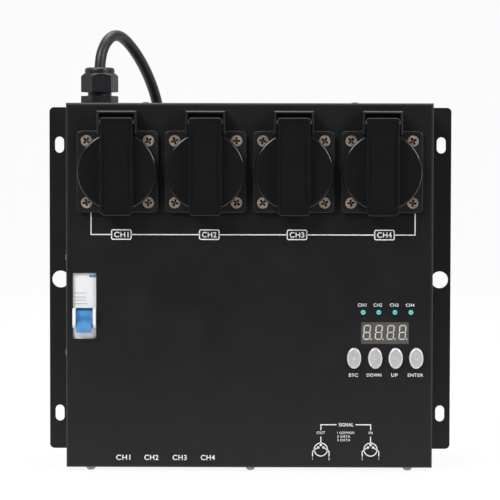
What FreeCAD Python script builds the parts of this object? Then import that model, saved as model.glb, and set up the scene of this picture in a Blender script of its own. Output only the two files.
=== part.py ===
"""Four-channel dimmer pack: sheet-steel case on a slotted back plate, four lidded outlets, breaker,
control panel, fuses and signal sockets below, cable gland and mains lead above.

Millimetres. +X is to the right seen from the front, -Y is the front, +Z is up.
The origin is under the middle of the pack, on the surface that its lowest screw heads stand on.
"""
import FreeCAD, Part
import math
import os

Vec = FreeCAD.Vector

# Case
HOOD_W, HOOD_H, CASE_D = 226.0, 225.0, 80.0
SHEET, PLATE = 1.2, 1.5
FOLD_R = 1.8
FLANGE_W, PLATE_H = 261.0, 222.4
PAN_HEAD_H = 2.4
LID_PROUD = 14.0

FRONT_Y = LID_PROUD - (CASE_D + LID_PROUD) / 2
BACK_Y = FRONT_Y + CASE_D
BOTTOM_Z = PAN_HEAD_H
TOP_Z = BOTTOM_Z + HOOD_H
SIDE_X = HOOD_W / 2
INNER_X = SIDE_X - SHEET
INNER_FRONT_Y = FRONT_Y + SHEET
INNER_BOTTOM_Z = BOTTOM_Z + SHEET
INNER_TOP_Z = TOP_Z - SHEET
PLATE_FRONT_Y = BACK_Y - PLATE
MIDDLE_Z = BOTTOM_Z + HOOD_H / 2

# Mounting holes in the flanges
HOLES_Z = MIDDLE_Z - 0.6
SLOT_X, SLOT_PITCH = 124.0, 174.9
SLOT_W, SLOT_L = 5.9, 10.5
TRUSS_X, TRUSS_HOLE_R = 123.4, 5.5
LIP_D, LIP_X = 14.0, 100.0

# Outlets
OUTLET_X = (-81.1, -27.0, 27.1, 81.2)
OUTLET_Z = BOTTOM_Z + 182.75
OUTLET_FLANGE, OUTLET_FLANGE_T, OUTLET_FLANGE_R = 50.2, 3.2, 3.3
OUTLET_FACE_Y = FRONT_Y - OUTLET_FLANGE_T
WELL_R, WELL_DEPTH, TUBE_R = 19.6, 17.5, 21.3
WELL_FLOOR_Y = OUTLET_FACE_Y + WELL_DEPTH
INSERT_T = 9.0
TUBE_BACK_Y = WELL_FLOOR_Y + INSERT_T
CONTACT_X = 9.5
OUTLET_SCREW = 19.0
PIN_Y, PIN_Z, PIN_R = FRONT_Y - 9.8, 30.5, 1.25
SPRING_R = 1.9
TOWER_W, TOWER_TOP, TOWER_WALL, TOWER_D = 24.3, 37.2, 1.5, 11.5
LID_R, LID_BACK_Y, LID_DISC_Y = 24.3, OUTLET_FACE_Y - 0.4, FRONT_Y - 9.0
GRIP_W, GRIP_TOP, GRIP_BOTTOM = 20.1, 32.9, -26.8
GRIP_FRONT_Y = FRONT_Y - LID_PROUD

# Breaker
BREAKER_W, BREAKER_Z = 17.7, BOTTOM_Z + 99.9
BREAKER_X = -INNER_X + 1.3 + BREAKER_W / 2
BREAKER_WINDOW = (-108.8, -94.4, BREAKER_Z - 20.35, BREAKER_Z + 20.35)
TOGGLE_Y, TOGGLE_Z, TOGGLE_W, DRUM_R = FRONT_Y + 6.5, BREAKER_Z - 7.4, 10.0, 5.5
TOGGLE_REACH, TOGGLE_REST_DEG = 14.4, -33.0
RAIL_FRONT_Y, RAIL_H, RAIL_D = 28.5, 35.0, 7.5
SIDE_SCREW_Y, SIDE_SCREW_DZ, SIDE_SCREW_R, SIDE_SCREW_H = FRONT_Y + 13.0, 29.5, 2.4, 1.3

# Control panel
LED_X, LED_Z, LED_R = (70.1, 79.7, 89.7, 99.5), BOTTOM_Z + 96.4, 1.5
DISPLAY_X, DISPLAY_Z, DISPLAY_W, DISPLAY_H = 83.6, BOTTOM_Z + 83.6, 29.6, 13.7
BUTTON_X, BUTTON_Z = (64.6, 77.6, 90.2, 102.9), BOTTOM_Z + 68.1
BUTTON_NAMES = ("esc", "down", "up", "enter")
BUTTON_W, BUTTON_H = 8.6, 12.8
BOARD_Y, BOARD_T = FRONT_Y + 11.0, 1.6
CONTROL_BOARD = (56.5, 111.0, 55.0, 107.0)
POWER_BOARD = (-84.0, 104.0, 48.0, 152.0)
POWER_BOARD_Y = PLATE_FRONT_Y - 9.6

# Under the pack
FUSE_X, FUSE_Y, FUSE_HOLE_R = (-77.8, -60.35, -42.9, -25.45), 8.0, 6.2
SIGNAL_OUT_X, SIGNAL_IN_X, SIGNAL_Y, SIGNAL_R = 44.3, 75.0, 8.0, 11.8
SIGNAL_FLANGE_X, SIGNAL_FLANGE_Y, SIGNAL_SCREW_X, SIGNAL_SCREW_Y = 26.0, 31.0, 9.5, 12.0
HEATSINK_X, HEATSINK_T, HEATSINK_TOP = 104.0, 3.0, 44.0
FRONT_SCREW_X, FRONT_SCREW_Y = (-98.3, 0.8, 98.2), FRONT_Y + 7.0
REAR_SCREW_X, REAR_SCREW_Y = (-67.5, 67.5), BACK_Y - 8.0
TRIAC_X = (-60.0, -20.0, 20.0, 60.0)

# Gland and mains lead
GLAND_X, GLAND_Y = -95.0, 7.0
GLAND_BASE_AF, GLAND_BASE_H, GLAND_NECK_R, GLAND_NECK_H = 20.5, 5.0, 7.5, 2.4
GLAND_NUT_AF, GLAND_NUT_H, GLAND_DOME_R, GLAND_DOME_H = 20.5, 11.7, 9.4, 3.8
CORD_D = 7.0
FLOOR_Z = CORD_D / 2 + 0.1
CORD_START_Z = TOP_Z + 16.1
COIL_X, COIL_Y, COIL_R, COIL_PITCH, COIL_STEP_Z = 5.0, 117.0, 46.0, 7.6, 7.5
COIL_TURNS_PER_LAYER, COIL_END_TURN = 2.25, 4.583
PLUG_LENGTH, PLUG_FACE_R, PLUG_RIM = 62.0, 18.8, 46.0
PLUG_TILT_DEG, PLUG_HEADING_DEG, PLUG_TAIL = 6.0, 207.0, 21.0

# The lead's free stretch, from inside the gland to where its coil begins: an arch over the pack's
# rear edge, a hang behind the back plate and a turn along the surface that the pack stands on.
CORD_ROUTE = (
    (GLAND_X, GLAND_Y, CORD_START_Z),
    (GLAND_X, GLAND_Y, 255.3),
    (-92.0, 12.2, 266.0),
    (-87.0, 20.9, 271.9),
    (-81.4, 30.6, 270.6),
    (-73.5, 44.2, 260.6),
    (-66.0, 57.2, 245.5),
    (-60.8, 66.3, 228.0),
    (-58.2, 70.7, 204.0),
    (-58.0, 71.2, 160.0),
    (-54.0, 71.8, 110.0),
    (-48.0, 71.0, 62.0),
    (-45.0, 71.2, 33.0),
    (-34.3, 71.0, 14.3),
    (-15.8, COIL_Y - COIL_R, FLOOR_Z),
    (COIL_X, COIL_Y - COIL_R, FLOOR_Z),
)


# Plain solids

def box(x0, x1, y0, y1, z0, z1):
    """A block between two corners."""
    return Part.makeBox(x1 - x0, y1 - y0, z1 - z0, Vec(x0, y0, z0))


def rod(radius, start, end):
    """A round bar between two points."""
    axis = Vec(*end) - Vec(*start)
    return Part.makeCylinder(radius, axis.Length, Vec(*start), axis)


def cone(radius_start, radius_end, start, end):
    """A round taper between two points."""
    axis = Vec(*end) - Vec(*start)
    return Part.makeCone(radius_start, radius_end, axis.Length, Vec(*start), axis)


def extruded(points, direction):
    """A closed polygon pushed along a direction."""
    corners = [Vec(*p) for p in points]
    face = Part.Face(Part.makePolygon(corners + corners[:1]))
    return face.extrude(Vec(*direction))


def revolved(profile):
    """A profile of (distance along +Z, radius) pairs turned about the Z axis."""
    corners = [Vec(r, 0, z) for z, r in profile]
    face = Part.Face(Part.makePolygon(corners + corners[:1]))
    return face.revolve(Vec(0, 0, 0), Vec(0, 0, 1), 360)


def along(shape, axis):
    """The straight edges of a shape that run along an axis."""
    axis = Vec(*axis)
    lines = [e for e in shape.Edges if isinstance(e.Curve, Part.Line)]
    return [e for e in lines if e.tangentAt(e.FirstParameter).cross(axis).Length < 1e-6]


def rounded(shape, radius, axis, keep=lambda middle: True):
    """A block with the edges along an axis rounded."""
    return shape.makeFillet(radius, [e for e in along(shape, axis) if keep(e.CenterOfMass)])


def on_plane(shape, y):
    """The edges of a shape that lie in one plane across Y."""
    return [e for e in shape.Edges if abs(e.BoundBox.YMin - y) < 1e-4 and abs(e.BoundBox.YMax - y) < 1e-4]


def around_top(shape, z):
    """The round edges of a shape that are centred at one height."""
    return [e for e in shape.Edges if abs(e.CenterOfMass.z - z) < 1e-6]


def hexagon(across_flats, height, turn=0.0):
    """A hexagonal bar standing on the origin."""
    corner = across_flats / math.sqrt(3)
    angles = [math.radians(60 * k + turn) for k in range(6)]
    return extruded([(corner * math.cos(a), corner * math.sin(a), 0) for a in angles], (0, 0, height))


def stood(shape, origin, axis, turn=0.0):
    """A shape made along +Z from the origin, turned about itself and stood at a point along an axis."""
    spin = FreeCAD.Rotation(Vec(0, 0, 1), turn)
    lean = FreeCAD.Rotation(Vec(0, 0, 1), Vec(*axis))
    moved = shape.copy()
    moved.Placement = FreeCAD.Placement(Vec(*origin), lean.multiply(spin))
    return moved


def moved(shape, x, y, z):
    """A copy of a shape, shifted."""
    copy = shape.copy()
    copy.translate(Vec(x, y, z))
    return copy


def elliptic(width, height, y0, y1, x, z):
    """An upright elliptic bar along Y."""
    centre = Vec(x, y0, z)
    ellipse = Part.Ellipse(centre + Vec(0, 0, height / 2), centre + Vec(width / 2, 0, 0), centre)
    return Part.Face(Part.Wire([ellipse.toShape()])).extrude(Vec(0, y1 - y0, 0))


# Screws

def cross_recess(top, size, depth):
    """The cross-shaped recess of a screw head, each arm running down to a narrow floor."""
    half, tip, width = size / 2, size / 6, size / 3.6
    profile = [(-half, top + 1), (-half, top), (-tip, top - depth),
               (tip, top - depth), (half, top), (half, top + 1)]
    arm = extruded([(x, -width / 2, z) for x, z in profile], (0, width, 0))
    other = arm.copy()
    other.rotate(Vec(0, 0, 0), Vec(0, 0, 1), 90)
    return arm.fuse(other)


def pan_screw(thread_r, head_r, head_h, length):
    """A pan-head screw: head above the origin, thread below."""
    head = rod(head_r, (0, 0, 0), (0, 0, head_h))
    head = head.makeFillet(head_h * 0.9, around_top(head, head_h))
    shank = rod(thread_r, (0, 0, -length), (0, 0, 0))
    return head.fuse(shank).cut(cross_recess(head_h, head_r * 1.2, head_h * 0.9))


def flat_screw(thread_r, head_r, length):
    """A countersunk screw: flat top at the origin, thread below."""
    drop = head_r - thread_r
    head = cone(head_r, thread_r, (0, 0, 0), (0, 0, -drop))
    shank = rod(thread_r, (0, 0, -length), (0, 0, -drop))
    return head.fuse(shank).cut(cross_recess(0, head_r * 1.25, head_r * 0.65))


# Case

def bottom_screw_places():
    """Where the heads of the bottom screws meet the hood, and which way they face."""
    points = [(x, FRONT_SCREW_Y, BOTTOM_Z) for x in FRONT_SCREW_X]
    points += [(x, REAR_SCREW_Y, BOTTOM_Z) for x in REAR_SCREW_X]
    return [(point, (0, 0, -1)) for point in points]


def side_screw_places():
    """Where the heads of the breaker bracket's two screws meet the hood."""
    heights = (BREAKER_Z - SIDE_SCREW_DZ, BREAKER_Z + SIDE_SCREW_DZ)
    return [((-SIDE_X, SIDE_SCREW_Y, z), (-1, 0, 0)) for z in heights]


def top_screw_places():
    """Where the heads of the two top screws meet the hood."""
    return [((x, REAR_SCREW_Y, TOP_Z), (0, 0, 1)) for x in REAR_SCREW_X]


CASE_THREAD_R, CASE_HEAD_R, CASE_THREAD_L = 1.9, 2.95, 6.0
TOP_HEAD_H = 1.9
CASE_HOLE_R = CASE_THREAD_R + 0.15


def case_holes():
    """Clearance holes for the case screws, through the hood and what is just behind it."""
    holes = []
    for point, out in bottom_screw_places() + side_screw_places() + top_screw_places():
        base = Vec(*point) + Vec(*out)
        holes.append(rod(CASE_HOLE_R, base, base - Vec(*out).multiply(CASE_THREAD_L + 2)))
    return holes


def hood():
    """The folded cover: front, sides, top and bottom in one sheet, open at the back."""
    skin = box(-SIDE_X, SIDE_X, FRONT_Y, BACK_Y, BOTTOM_Z, TOP_Z)
    skin = skin.makeFillet(FOLD_R, on_plane(skin, FRONT_Y))
    room = box(-INNER_X, INNER_X, INNER_FRONT_Y, BACK_Y + 1, INNER_BOTTOM_Z, INNER_TOP_Z)
    room = room.makeFillet(FOLD_R - SHEET, on_plane(room, INNER_FRONT_Y))
    shell = skin.cut(room)
    tools = case_holes()
    for side in (-1, 1):
        x0, x1 = sorted((side * INNER_X, side * (SIDE_X + 1)))
        tools.append(box(x0, x1, PLATE_FRONT_Y, BACK_Y + 1, BOTTOM_Z - 1, TOP_Z + 1))
    y0, y1 = FRONT_Y - 1, INNER_FRONT_Y + 1
    for x in OUTLET_X:
        tools.append(rod(TUBE_R + 0.3, (x, y0, OUTLET_Z), (x, y1, OUTLET_Z)))
        tools += [rod(2.0, (px, y0, pz), (px, y1, pz)) for px, pz in outlet_screw_points(x)]
    x0, x1, z0, z1 = BREAKER_WINDOW
    tools.append(box(x0, x1, y0, y1, z0, z1))
    half_w, half_h = DISPLAY_W / 2 + 0.1, DISPLAY_H / 2 + 0.1
    tools.append(box(DISPLAY_X - half_w, DISPLAY_X + half_w, y0, y1, DISPLAY_Z - half_h, DISPLAY_Z + half_h))
    tools += [rod(LED_R + 0.15, (x, y0, LED_Z), (x, y1, LED_Z)) for x in LED_X]
    tools += [elliptic(BUTTON_W + 0.8, BUTTON_H + 0.8, y0, y1, x, BUTTON_Z) for x in BUTTON_X]
    z0, z1 = BOTTOM_Z - 1, INNER_BOTTOM_Z + 1
    tools += [rod(FUSE_HOLE_R + 0.1, (x, FUSE_Y, z0), (x, FUSE_Y, z1)) for x in FUSE_X]
    for x in (SIGNAL_OUT_X, SIGNAL_IN_X):
        tools.append(rod(SIGNAL_R + 0.2, (x, SIGNAL_Y, z0), (x, SIGNAL_Y, z1)))
        tools += [rod(1.6, (px, py, z0), (px, py, z1)) for px, py in signal_screw_points(x)]
    tools.append(rod(GLAND_NECK_R + 0.2, (GLAND_X, GLAND_Y, INNER_TOP_Z - 1), (GLAND_X, GLAND_Y, TOP_Z + 1)))
    return shell.cut(tools)


def base_plate():
    """The back plate with its two slotted flanges, and a lip at top and bottom for the hood's screws."""
    half_h = PLATE_H / 2
    plate = box(-FLANGE_W / 2, FLANGE_W / 2, PLATE_FRONT_Y, BACK_Y, MIDDLE_Z - half_h, MIDDLE_Z + half_h)
    plate = rounded(plate, 3.0, (0, 1, 0))
    for z0 in (MIDDLE_Z - half_h, MIDDLE_Z + half_h - PLATE):
        plate = plate.fuse(box(-LIP_X, LIP_X, PLATE_FRONT_Y - LIP_D, PLATE_FRONT_Y + 0.5, z0, z0 + PLATE))
    tools = case_holes()
    y0, y1 = PLATE_FRONT_Y - 1, BACK_Y + 1
    for side in (-1, 1):
        x = side * SLOT_X
        tools.append(rod(TRUSS_HOLE_R, (side * TRUSS_X, y0, HOLES_Z), (side * TRUSS_X, y1, HOLES_Z)))
        for dz in (-SLOT_PITCH / 2, SLOT_PITCH / 2):
            reach = (SLOT_L - SLOT_W) / 2
            ends = [HOLES_Z + dz + k * reach for k in (-1, 1)]
            tools += [rod(SLOT_W / 2, (x, y0, z), (x, y1, z)) for z in ends]
            tools.append(box(x - SLOT_W / 2, x + SLOT_W / 2, y0, y1, ends[0], ends[1]))
    return plate.cut(tools)


def domed_screws(places, head_r, head_h):
    """Domed screws with heads of one size, each turned a little differently."""
    screw = pan_screw(CASE_THREAD_R, head_r, head_h, CASE_THREAD_L)
    return [stood(screw, point, out, 25.0 + 31.0 * k) for k, (point, out) in enumerate(places)]


# Outlets

def outlet_screw_points(x):
    """The four screw centres of the outlet at x."""
    return [(x + sx * OUTLET_SCREW, OUTLET_Z + sz * OUTLET_SCREW) for sx in (-1, 1) for sz in (-1, 1)]


OUTLET_SCREW_R, OUTLET_SCREW_HEAD_R, OUTLET_SCREW_L = 1.7, 3.5, 12.0
SCREW_SINK, SCREW_SINK_R = 0.6, 4.15


def socket_housing():
    """One outlet's moulding, at x = 0: square flange, round well, and the hinge tower above it."""
    half = OUTLET_FLANGE / 2
    flange = box(-half, half, OUTLET_FACE_Y, FRONT_Y, -half, half)
    flange = rounded(flange, OUTLET_FLANGE_R, (0, 1, 0))
    flange = flange.makeFillet(0.6, on_plane(flange, OUTLET_FACE_Y))
    tube = rod(TUBE_R, (0, FRONT_Y - 1, 0), (0, TUBE_BACK_Y, 0))
    half_w = TOWER_W / 2
    back = box(-half_w, half_w, FRONT_Y - TOWER_WALL, FRONT_Y, half - 4, TOWER_TOP)
    frame = box(-half_w, half_w, FRONT_Y - TOWER_D, FRONT_Y, 23.0, TOWER_TOP)
    gap = box(TOWER_WALL - half_w, half_w - TOWER_WALL, FRONT_Y - TOWER_D - 1, FRONT_Y - TOWER_WALL,
              20.0, TOWER_TOP - TOWER_WALL)
    outer = [e for e in on_plane(frame, FRONT_Y - TOWER_D) if e.CenterOfMass.z > 23.5]
    frame = frame.makeChamfer(0.7, outer).cut(gap)
    body = flange.fuse([tube, back, frame])
    tools = [rod(WELL_R, (0, OUTLET_FACE_Y - 1, 0), (0, TUBE_BACK_Y + 1, 0))]
    tools.append(rod(PIN_R + 0.02, (-half_w - 1, PIN_Y, PIN_Z), (half_w + 1, PIN_Y, PIN_Z)))
    for sx in (-1, 1):
        for sz in (-1, 1):
            x, z = sx * OUTLET_SCREW, sz * OUTLET_SCREW
            seat_y = OUTLET_FACE_Y + SCREW_SINK
            top = (x, seat_y - 0.01, z)
            neck = (x, seat_y + OUTLET_SCREW_HEAD_R - OUTLET_SCREW_R, z)
            tools.append(rod(SCREW_SINK_R, (x, OUTLET_FACE_Y - 1, z), (x, seat_y, z)))
            tools.append(cone(OUTLET_SCREW_HEAD_R + 0.15, OUTLET_SCREW_R + 0.15, top, neck))
            tools.append(rod(OUTLET_SCREW_R + 0.15, top, (x, FRONT_Y + 1, z)))
    return body.cut(tools)


def socket_lid():
    """One outlet's lid, at x = 0: a round cover carried by a long grip that turns on the hinge pin."""
    disc = rod(LID_R, (0, LID_BACK_Y, 0), (0, LID_DISC_Y, 0))
    disc = disc.makeFillet(1.3, on_plane(disc, LID_DISC_Y))
    disc = disc.cut(rod(LID_R - 2.2, (0, LID_BACK_Y + 1, 0), (0, LID_BACK_Y - 3.2, 0)))
    half = GRIP_W / 2
    back_y = PIN_Y + 2.4
    grip = box(-half, half, GRIP_FRONT_Y, back_y, GRIP_BOTTOM, GRIP_TOP)
    grip = rounded(grip, 3.0, (0, 1, 0), lambda m: m.z < 0)
    grip = rounded(grip, 1.2, (0, 1, 0), lambda m: m.z > 0 and abs(m.x) > half - 0.1)
    grip = grip.makeFillet(0.6, on_plane(grip, GRIP_FRONT_Y))
    hollow = box(1.7 - half, half - 1.7, GRIP_FRONT_Y - 1, GRIP_FRONT_Y + 0.7,
                 GRIP_BOTTOM + 1.7, GRIP_TOP - 2.2)
    hollow = rounded(hollow, 1.6, (0, 1, 0))
    pad = box(3.1 - half, half - 3.1, GRIP_FRONT_Y + 0.3, GRIP_FRONT_Y + 0.9, -18.5, 23.5)
    pad = rounded(pad, 0.8, (0, 1, 0))
    grip = grip.cut(hollow).fuse(pad)
    well = box(1.7 - half, half - 1.7, LID_DISC_Y + 0.6, back_y + 1, GRIP_BOTTOM + 1.7, -LID_R - 0.4)
    grip = grip.cut(well)
    room_r = SPRING_R + 0.5
    spring_room = rod(room_r, (-4.6, PIN_Y, PIN_Z), (4.6, PIN_Y, PIN_Z))
    rear_room = box(-4.6, 4.6, PIN_Y, back_y + 1, PIN_Z - room_r, GRIP_TOP + 1)
    bore = rod(PIN_R + 0.05, (-half - 1, PIN_Y, PIN_Z), (half + 1, PIN_Y, PIN_Z))
    return disc.fuse(grip).cut([spring_room, rear_room, bore])


def lid_pin():
    """One lid's hinge pin."""
    reach = TOWER_W / 2 - 0.2
    return rod(PIN_R, (-reach, PIN_Y, PIN_Z), (reach, PIN_Y, PIN_Z))


def lid_spring():
    """One lid's torsion spring as a sleeve round the pin, with the leg that bears on the tower."""
    sleeve = rod(SPRING_R, (-4.2, PIN_Y, PIN_Z), (4.2, PIN_Y, PIN_Z))
    leg = box(-0.4, 0.4, PIN_Y, FRONT_Y - TOWER_WALL, PIN_Z - SPRING_R, PIN_Z - SPRING_R + 0.7)
    return sleeve.fuse(leg).cut(rod(PIN_R + 0.02, (-5, PIN_Y, PIN_Z), (5, PIN_Y, PIN_Z)))


def socket_insert():
    """One outlet's insulating insert: the floor of the well, with a stepped hole for each contact."""
    disc = rod(WELL_R - 0.1, (0, WELL_FLOOR_Y, 0), (0, TUBE_BACK_Y, 0))
    tools = []
    for x in (-CONTACT_X, CONTACT_X):
        tools.append(rod(2.7, (x, WELL_FLOOR_Y - 1, 0), (x, TUBE_BACK_Y + 1, 0)))
        tools.append(cone(3.6, 2.7, (x, WELL_FLOOR_Y - 0.01, 0), (x, WELL_FLOOR_Y + 0.9, 0)))
        tools.append(rod(3.6, (x, WELL_FLOOR_Y + 2, 0), (x, TUBE_BACK_Y + 1, 0)))
    for z in (-1, 1):
        z0, z1 = sorted((z * 17.6, z * 20.5))
        tools.append(box(-3.3, 3.3, WELL_FLOOR_Y - 1, TUBE_BACK_Y - 3, z0, z1))
    return disc.cut(tools)


def socket_contact(x):
    """One sleeve contact with its screw terminal at the back."""
    sleeve = rod(3.5, (x, WELL_FLOOR_Y + 2, 0), (x, TUBE_BACK_Y + 2, 0))
    lug = box(x - 3, x + 3, TUBE_BACK_Y + 2, TUBE_BACK_Y + 8, -3.5, 3.5)
    bore = rod(2.45, (x, WELL_FLOOR_Y, 0), (x, TUBE_BACK_Y + 1, 0))
    return sleeve.fuse(lug).cut(bore)


def earth_clip(side):
    """One springy earth clip against the well's wall, above or below."""
    band = [(18.9, TUBE_BACK_Y - 3.2), (18.9, OUTLET_FACE_Y + 5.5), (16.7, OUTLET_FACE_Y + 8.5),
            (17.9, OUTLET_FACE_Y + 13.0), (18.1, TUBE_BACK_Y - 3.2)]
    return extruded([(-3, y, side * z) for z, y in band], (6, 0, 0))


def outlet_screws():
    """Sixteen countersunk screws, four to an outlet."""
    screw = flat_screw(OUTLET_SCREW_R, OUTLET_SCREW_HEAD_R, OUTLET_SCREW_L)
    points = [p for x in OUTLET_X for p in outlet_screw_points(x)]
    return [stood(screw, (x, OUTLET_FACE_Y + SCREW_SINK, z), (0, -1, 0), 12.0 + 37.0 * k)
            for k, (x, z) in enumerate(points)]


# Breaker

def breaker_body():
    """The breaker's moulded case, on its rail, with its face just behind the hood's window."""
    face_y = INNER_FRONT_Y + 0.3
    shoulder_y = face_y + 16.0
    foot_y = RAIL_FRONT_Y + 4.0
    outline = [(face_y, 22.4), (shoulder_y, 22.4), (shoulder_y, 36.0), (shoulder_y + 5, 41.0), (foot_y, 41.0),
               (foot_y, 17.8), (RAIL_FRONT_Y, 17.8), (RAIL_FRONT_Y, -17.8), (foot_y, -17.8), (foot_y, -41.0),
               (shoulder_y + 5, -41.0), (shoulder_y, -36.0), (shoulder_y, -22.4), (face_y, -22.4)]
    x0 = BREAKER_X - BREAKER_W / 2
    body = extruded([(x0, y, BREAKER_Z + z) for y, z in outline], (BREAKER_W, 0, 0))
    half = TOGGLE_W / 2
    for side in (-1, 1):
        xa, xb = sorted((BREAKER_X + side * (half + 0.35), BREAKER_X + side * (half + 2.15)))
        cheek = box(xa, xb, FRONT_Y - 3.4, face_y + 1, TOGGLE_Z - 6.2, TOGGLE_Z + 6.3)
        cheek = rounded(cheek, 3.6, (1, 0, 0), lambda m: m.y < FRONT_Y)
        body = body.fuse(cheek)
    x0, x1, drum_room = BREAKER_X - half - 0.35, BREAKER_X + half + 0.35, DRUM_R + 0.6
    tools = [rod(drum_room, (x0, TOGGLE_Y, TOGGLE_Z), (x1, TOGGLE_Y, TOGGLE_Z))]
    tools.append(box(x0, x1, FRONT_Y - 5, TOGGLE_Y, TOGGLE_Z - drum_room, TOGGLE_Z + drum_room))
    for side in (-1, 1):
        z = BREAKER_Z + side * 30.0
        tools.append(rod(3.4, (BREAKER_X, shoulder_y - 1, z), (BREAKER_X, shoulder_y + 9, z)))
        z0, z1 = sorted((BREAKER_Z + side * 33.0, BREAKER_Z + side * 42.0))
        tools.append(box(BREAKER_X - 4, BREAKER_X + 4, shoulder_y + 12, shoulder_y + 21, z0, z1))
    return body.cut(tools)


def breaker_toggle():
    """The breaker's lever on its drum, pointing down: off."""
    half = TOGGLE_W / 2
    drum = rod(DRUM_R, (BREAKER_X - half, TOGGLE_Y, TOGGLE_Z), (BREAKER_X + half, TOGGLE_Y, TOGGLE_Z))
    outline = [(-4.0, 1.9), (-TOGGLE_REACH + 0.9, 1.7), (-TOGGLE_REACH, 0.9),
               (-TOGGLE_REACH, -0.9), (-TOGGLE_REACH + 0.9, -1.7), (-4.0, -1.9)]
    turn = math.radians(-TOGGLE_REST_DEG)
    points = []
    for y, z in outline:
        py = y * math.cos(turn) - z * math.sin(turn)
        pz = y * math.sin(turn) + z * math.cos(turn)
        points.append((BREAKER_X - half + 0.4, TOGGLE_Y + py, TOGGLE_Z + pz))
    lever = extruded(points, (TOGGLE_W - 0.8, 0, 0))
    return drum.fuse(lever)


def din_rail():
    """A short piece of 35 mm top-hat rail behind the breaker."""
    top, web, wall = RAIL_H / 2, 13.5, 1.0
    y0, y1 = RAIL_FRONT_Y, RAIL_FRONT_Y + RAIL_D
    outline = [(y0, top), (y0, web), (y1 - wall, web), (y1 - wall, -web), (y0, -web), (y0, -top),
               (y0 + wall, -top), (y0 + wall, -web - wall), (y1, -web - wall), (y1, web + wall),
               (y0 + wall, web + wall), (y0 + wall, top)]
    x0 = -INNER_X + 1.4
    return extruded([(x0, y, BREAKER_Z + z) for y, z in outline], (BREAKER_W + 2, 0, 0))


def breaker_bracket():
    """The bracket on the left wall: a side plate for two screws, and the back that carries the rail."""
    wall_x, back_y = -INNER_X, RAIL_FRONT_Y + RAIL_D
    side = box(wall_x, wall_x + SHEET, FRONT_Y + 8, back_y + SHEET, BREAKER_Z - 36, BREAKER_Z + 36)
    back = box(wall_x, wall_x + BREAKER_W + 5, back_y, back_y + SHEET, BREAKER_Z - 36, BREAKER_Z + 36)
    return side.fuse(back).cut(case_holes())


# Control panel

def control_board():
    """The control board behind the panel, with its processor and connectors on the back."""
    x0, x1, z0, z1 = CONTROL_BOARD
    board = box(x0, x1, BOARD_Y, BOARD_Y + BOARD_T, z0, z1)
    back = BOARD_Y + BOARD_T
    parts = [box(66, 80, back - 0.1, back + 2.2, 76, 90), box(88, 104, back - 0.1, back + 6.5, 60, 66),
             box(88, 104, back - 0.1, back + 6.5, 96, 102)]
    holes = [rod(1.6, (x, BOARD_Y - 1, z), (x, back + 1, z)) for x, z in control_spacer_points()]
    return board.fuse(parts).cut(holes)


def control_spacer_points():
    """The four fixing points of the control board."""
    x0, x1, z0, z1 = CONTROL_BOARD
    return [(x, z) for x in (x0 + 3.5, x1 - 3.5) for z in (z0 + 3.5, z1 - 3.5)]


def power_spacer_points():
    """The four fixing points of the power board."""
    x0, x1, z0, z1 = POWER_BOARD
    return [(x, z) for x in (x0 + 5, x1 - 5) for z in (z0 + 5, z1 - 5)]


def board_spacers():
    """Hexagonal spacers between the hood and the control board, and behind the power board."""
    spacers = []
    for points, y0, y1 in ((control_spacer_points(), INNER_FRONT_Y, BOARD_Y),
                           (power_spacer_points(), POWER_BOARD_Y + BOARD_T, PLATE_FRONT_Y)):
        bar = hexagon(5.5, y1 - y0).cut(rod(1.6, (0, 0, -1), (0, 0, y1 - y0 + 1)))
        spacers += [stood(bar, (x, y0, z), (0, 1, 0)) for x, z in points]
    return spacers


def small_screws():
    """Small pan-head screws through both boards into their spacers, and through the triacs' tabs."""
    screw = pan_screw(1.45, 2.8, 1.8, 5.5)
    screws = [stood(screw, (x, BOARD_Y + BOARD_T, z), (0, 1, 0)) for x, z in control_spacer_points()]
    screws += [stood(screw, (x, POWER_BOARD_Y, z), (0, -1, 0)) for x, z in power_spacer_points()]
    tab_y = heatsink_back_y() + 1.3
    short = pan_screw(1.45, 2.8, 1.8, 3.5)
    return screws + [stood(short, (x, tab_y, TRIAC_HOLE_Z), (0, 1, 0)) for x in TRIAC_X]


def display_module():
    """The four-digit display block, with its pins."""
    front = FRONT_Y + 0.4
    block = box(DISPLAY_X - DISPLAY_W / 2, DISPLAY_X + DISPLAY_W / 2, front, BOARD_Y,
                DISPLAY_Z - DISPLAY_H / 2, DISPLAY_Z + DISPLAY_H / 2)
    return block


def status_led(x):
    """One three-millimetre status light, domed through the hood, with its flange and legs."""
    base_y = FRONT_Y + 4.0
    lens = rod(LED_R, (x, FRONT_Y - 0.2, LED_Z), (x, base_y, LED_Z))
    dome = Part.makeSphere(LED_R, Vec(x, FRONT_Y - 0.2, LED_Z))
    dome = dome.common(box(x - 2, x + 2, FRONT_Y - 0.9, FRONT_Y, LED_Z - 2, LED_Z + 2))
    flange = rod(LED_R + 0.4, (x, base_y - 1, LED_Z), (x, base_y, LED_Z))
    legs = [box(x + dx - 0.25, x + dx + 0.25, base_y - 0.5, BOARD_Y, LED_Z - 0.25, LED_Z + 0.25)
            for dx in (-0.9, 0.9)]
    return lens.fuse([dome, flange] + legs)


def button(x):
    """One oval button: domed face, a flange behind the hood, and the stem that works its switch."""
    face = elliptic(BUTTON_W, BUTTON_H, FRONT_Y - 2.6, INNER_FRONT_Y + 3.0, x, BUTTON_Z)
    face = face.makeFillet(1.1, on_plane(face, FRONT_Y - 2.6))
    flange = elliptic(BUTTON_W + 2.4, BUTTON_H + 2.4, INNER_FRONT_Y + 1.8, INNER_FRONT_Y + 3.0, x, BUTTON_Z)
    stem = rod(1.7, (x, INNER_FRONT_Y + 2, BUTTON_Z), (x, BOARD_Y - 2.4, BUTTON_Z))
    dimple = Part.makeSphere(0.7, Vec(x, FRONT_Y - 2.9, BUTTON_Z))
    return face.fuse([flange, stem]).cut(dimple)


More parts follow.
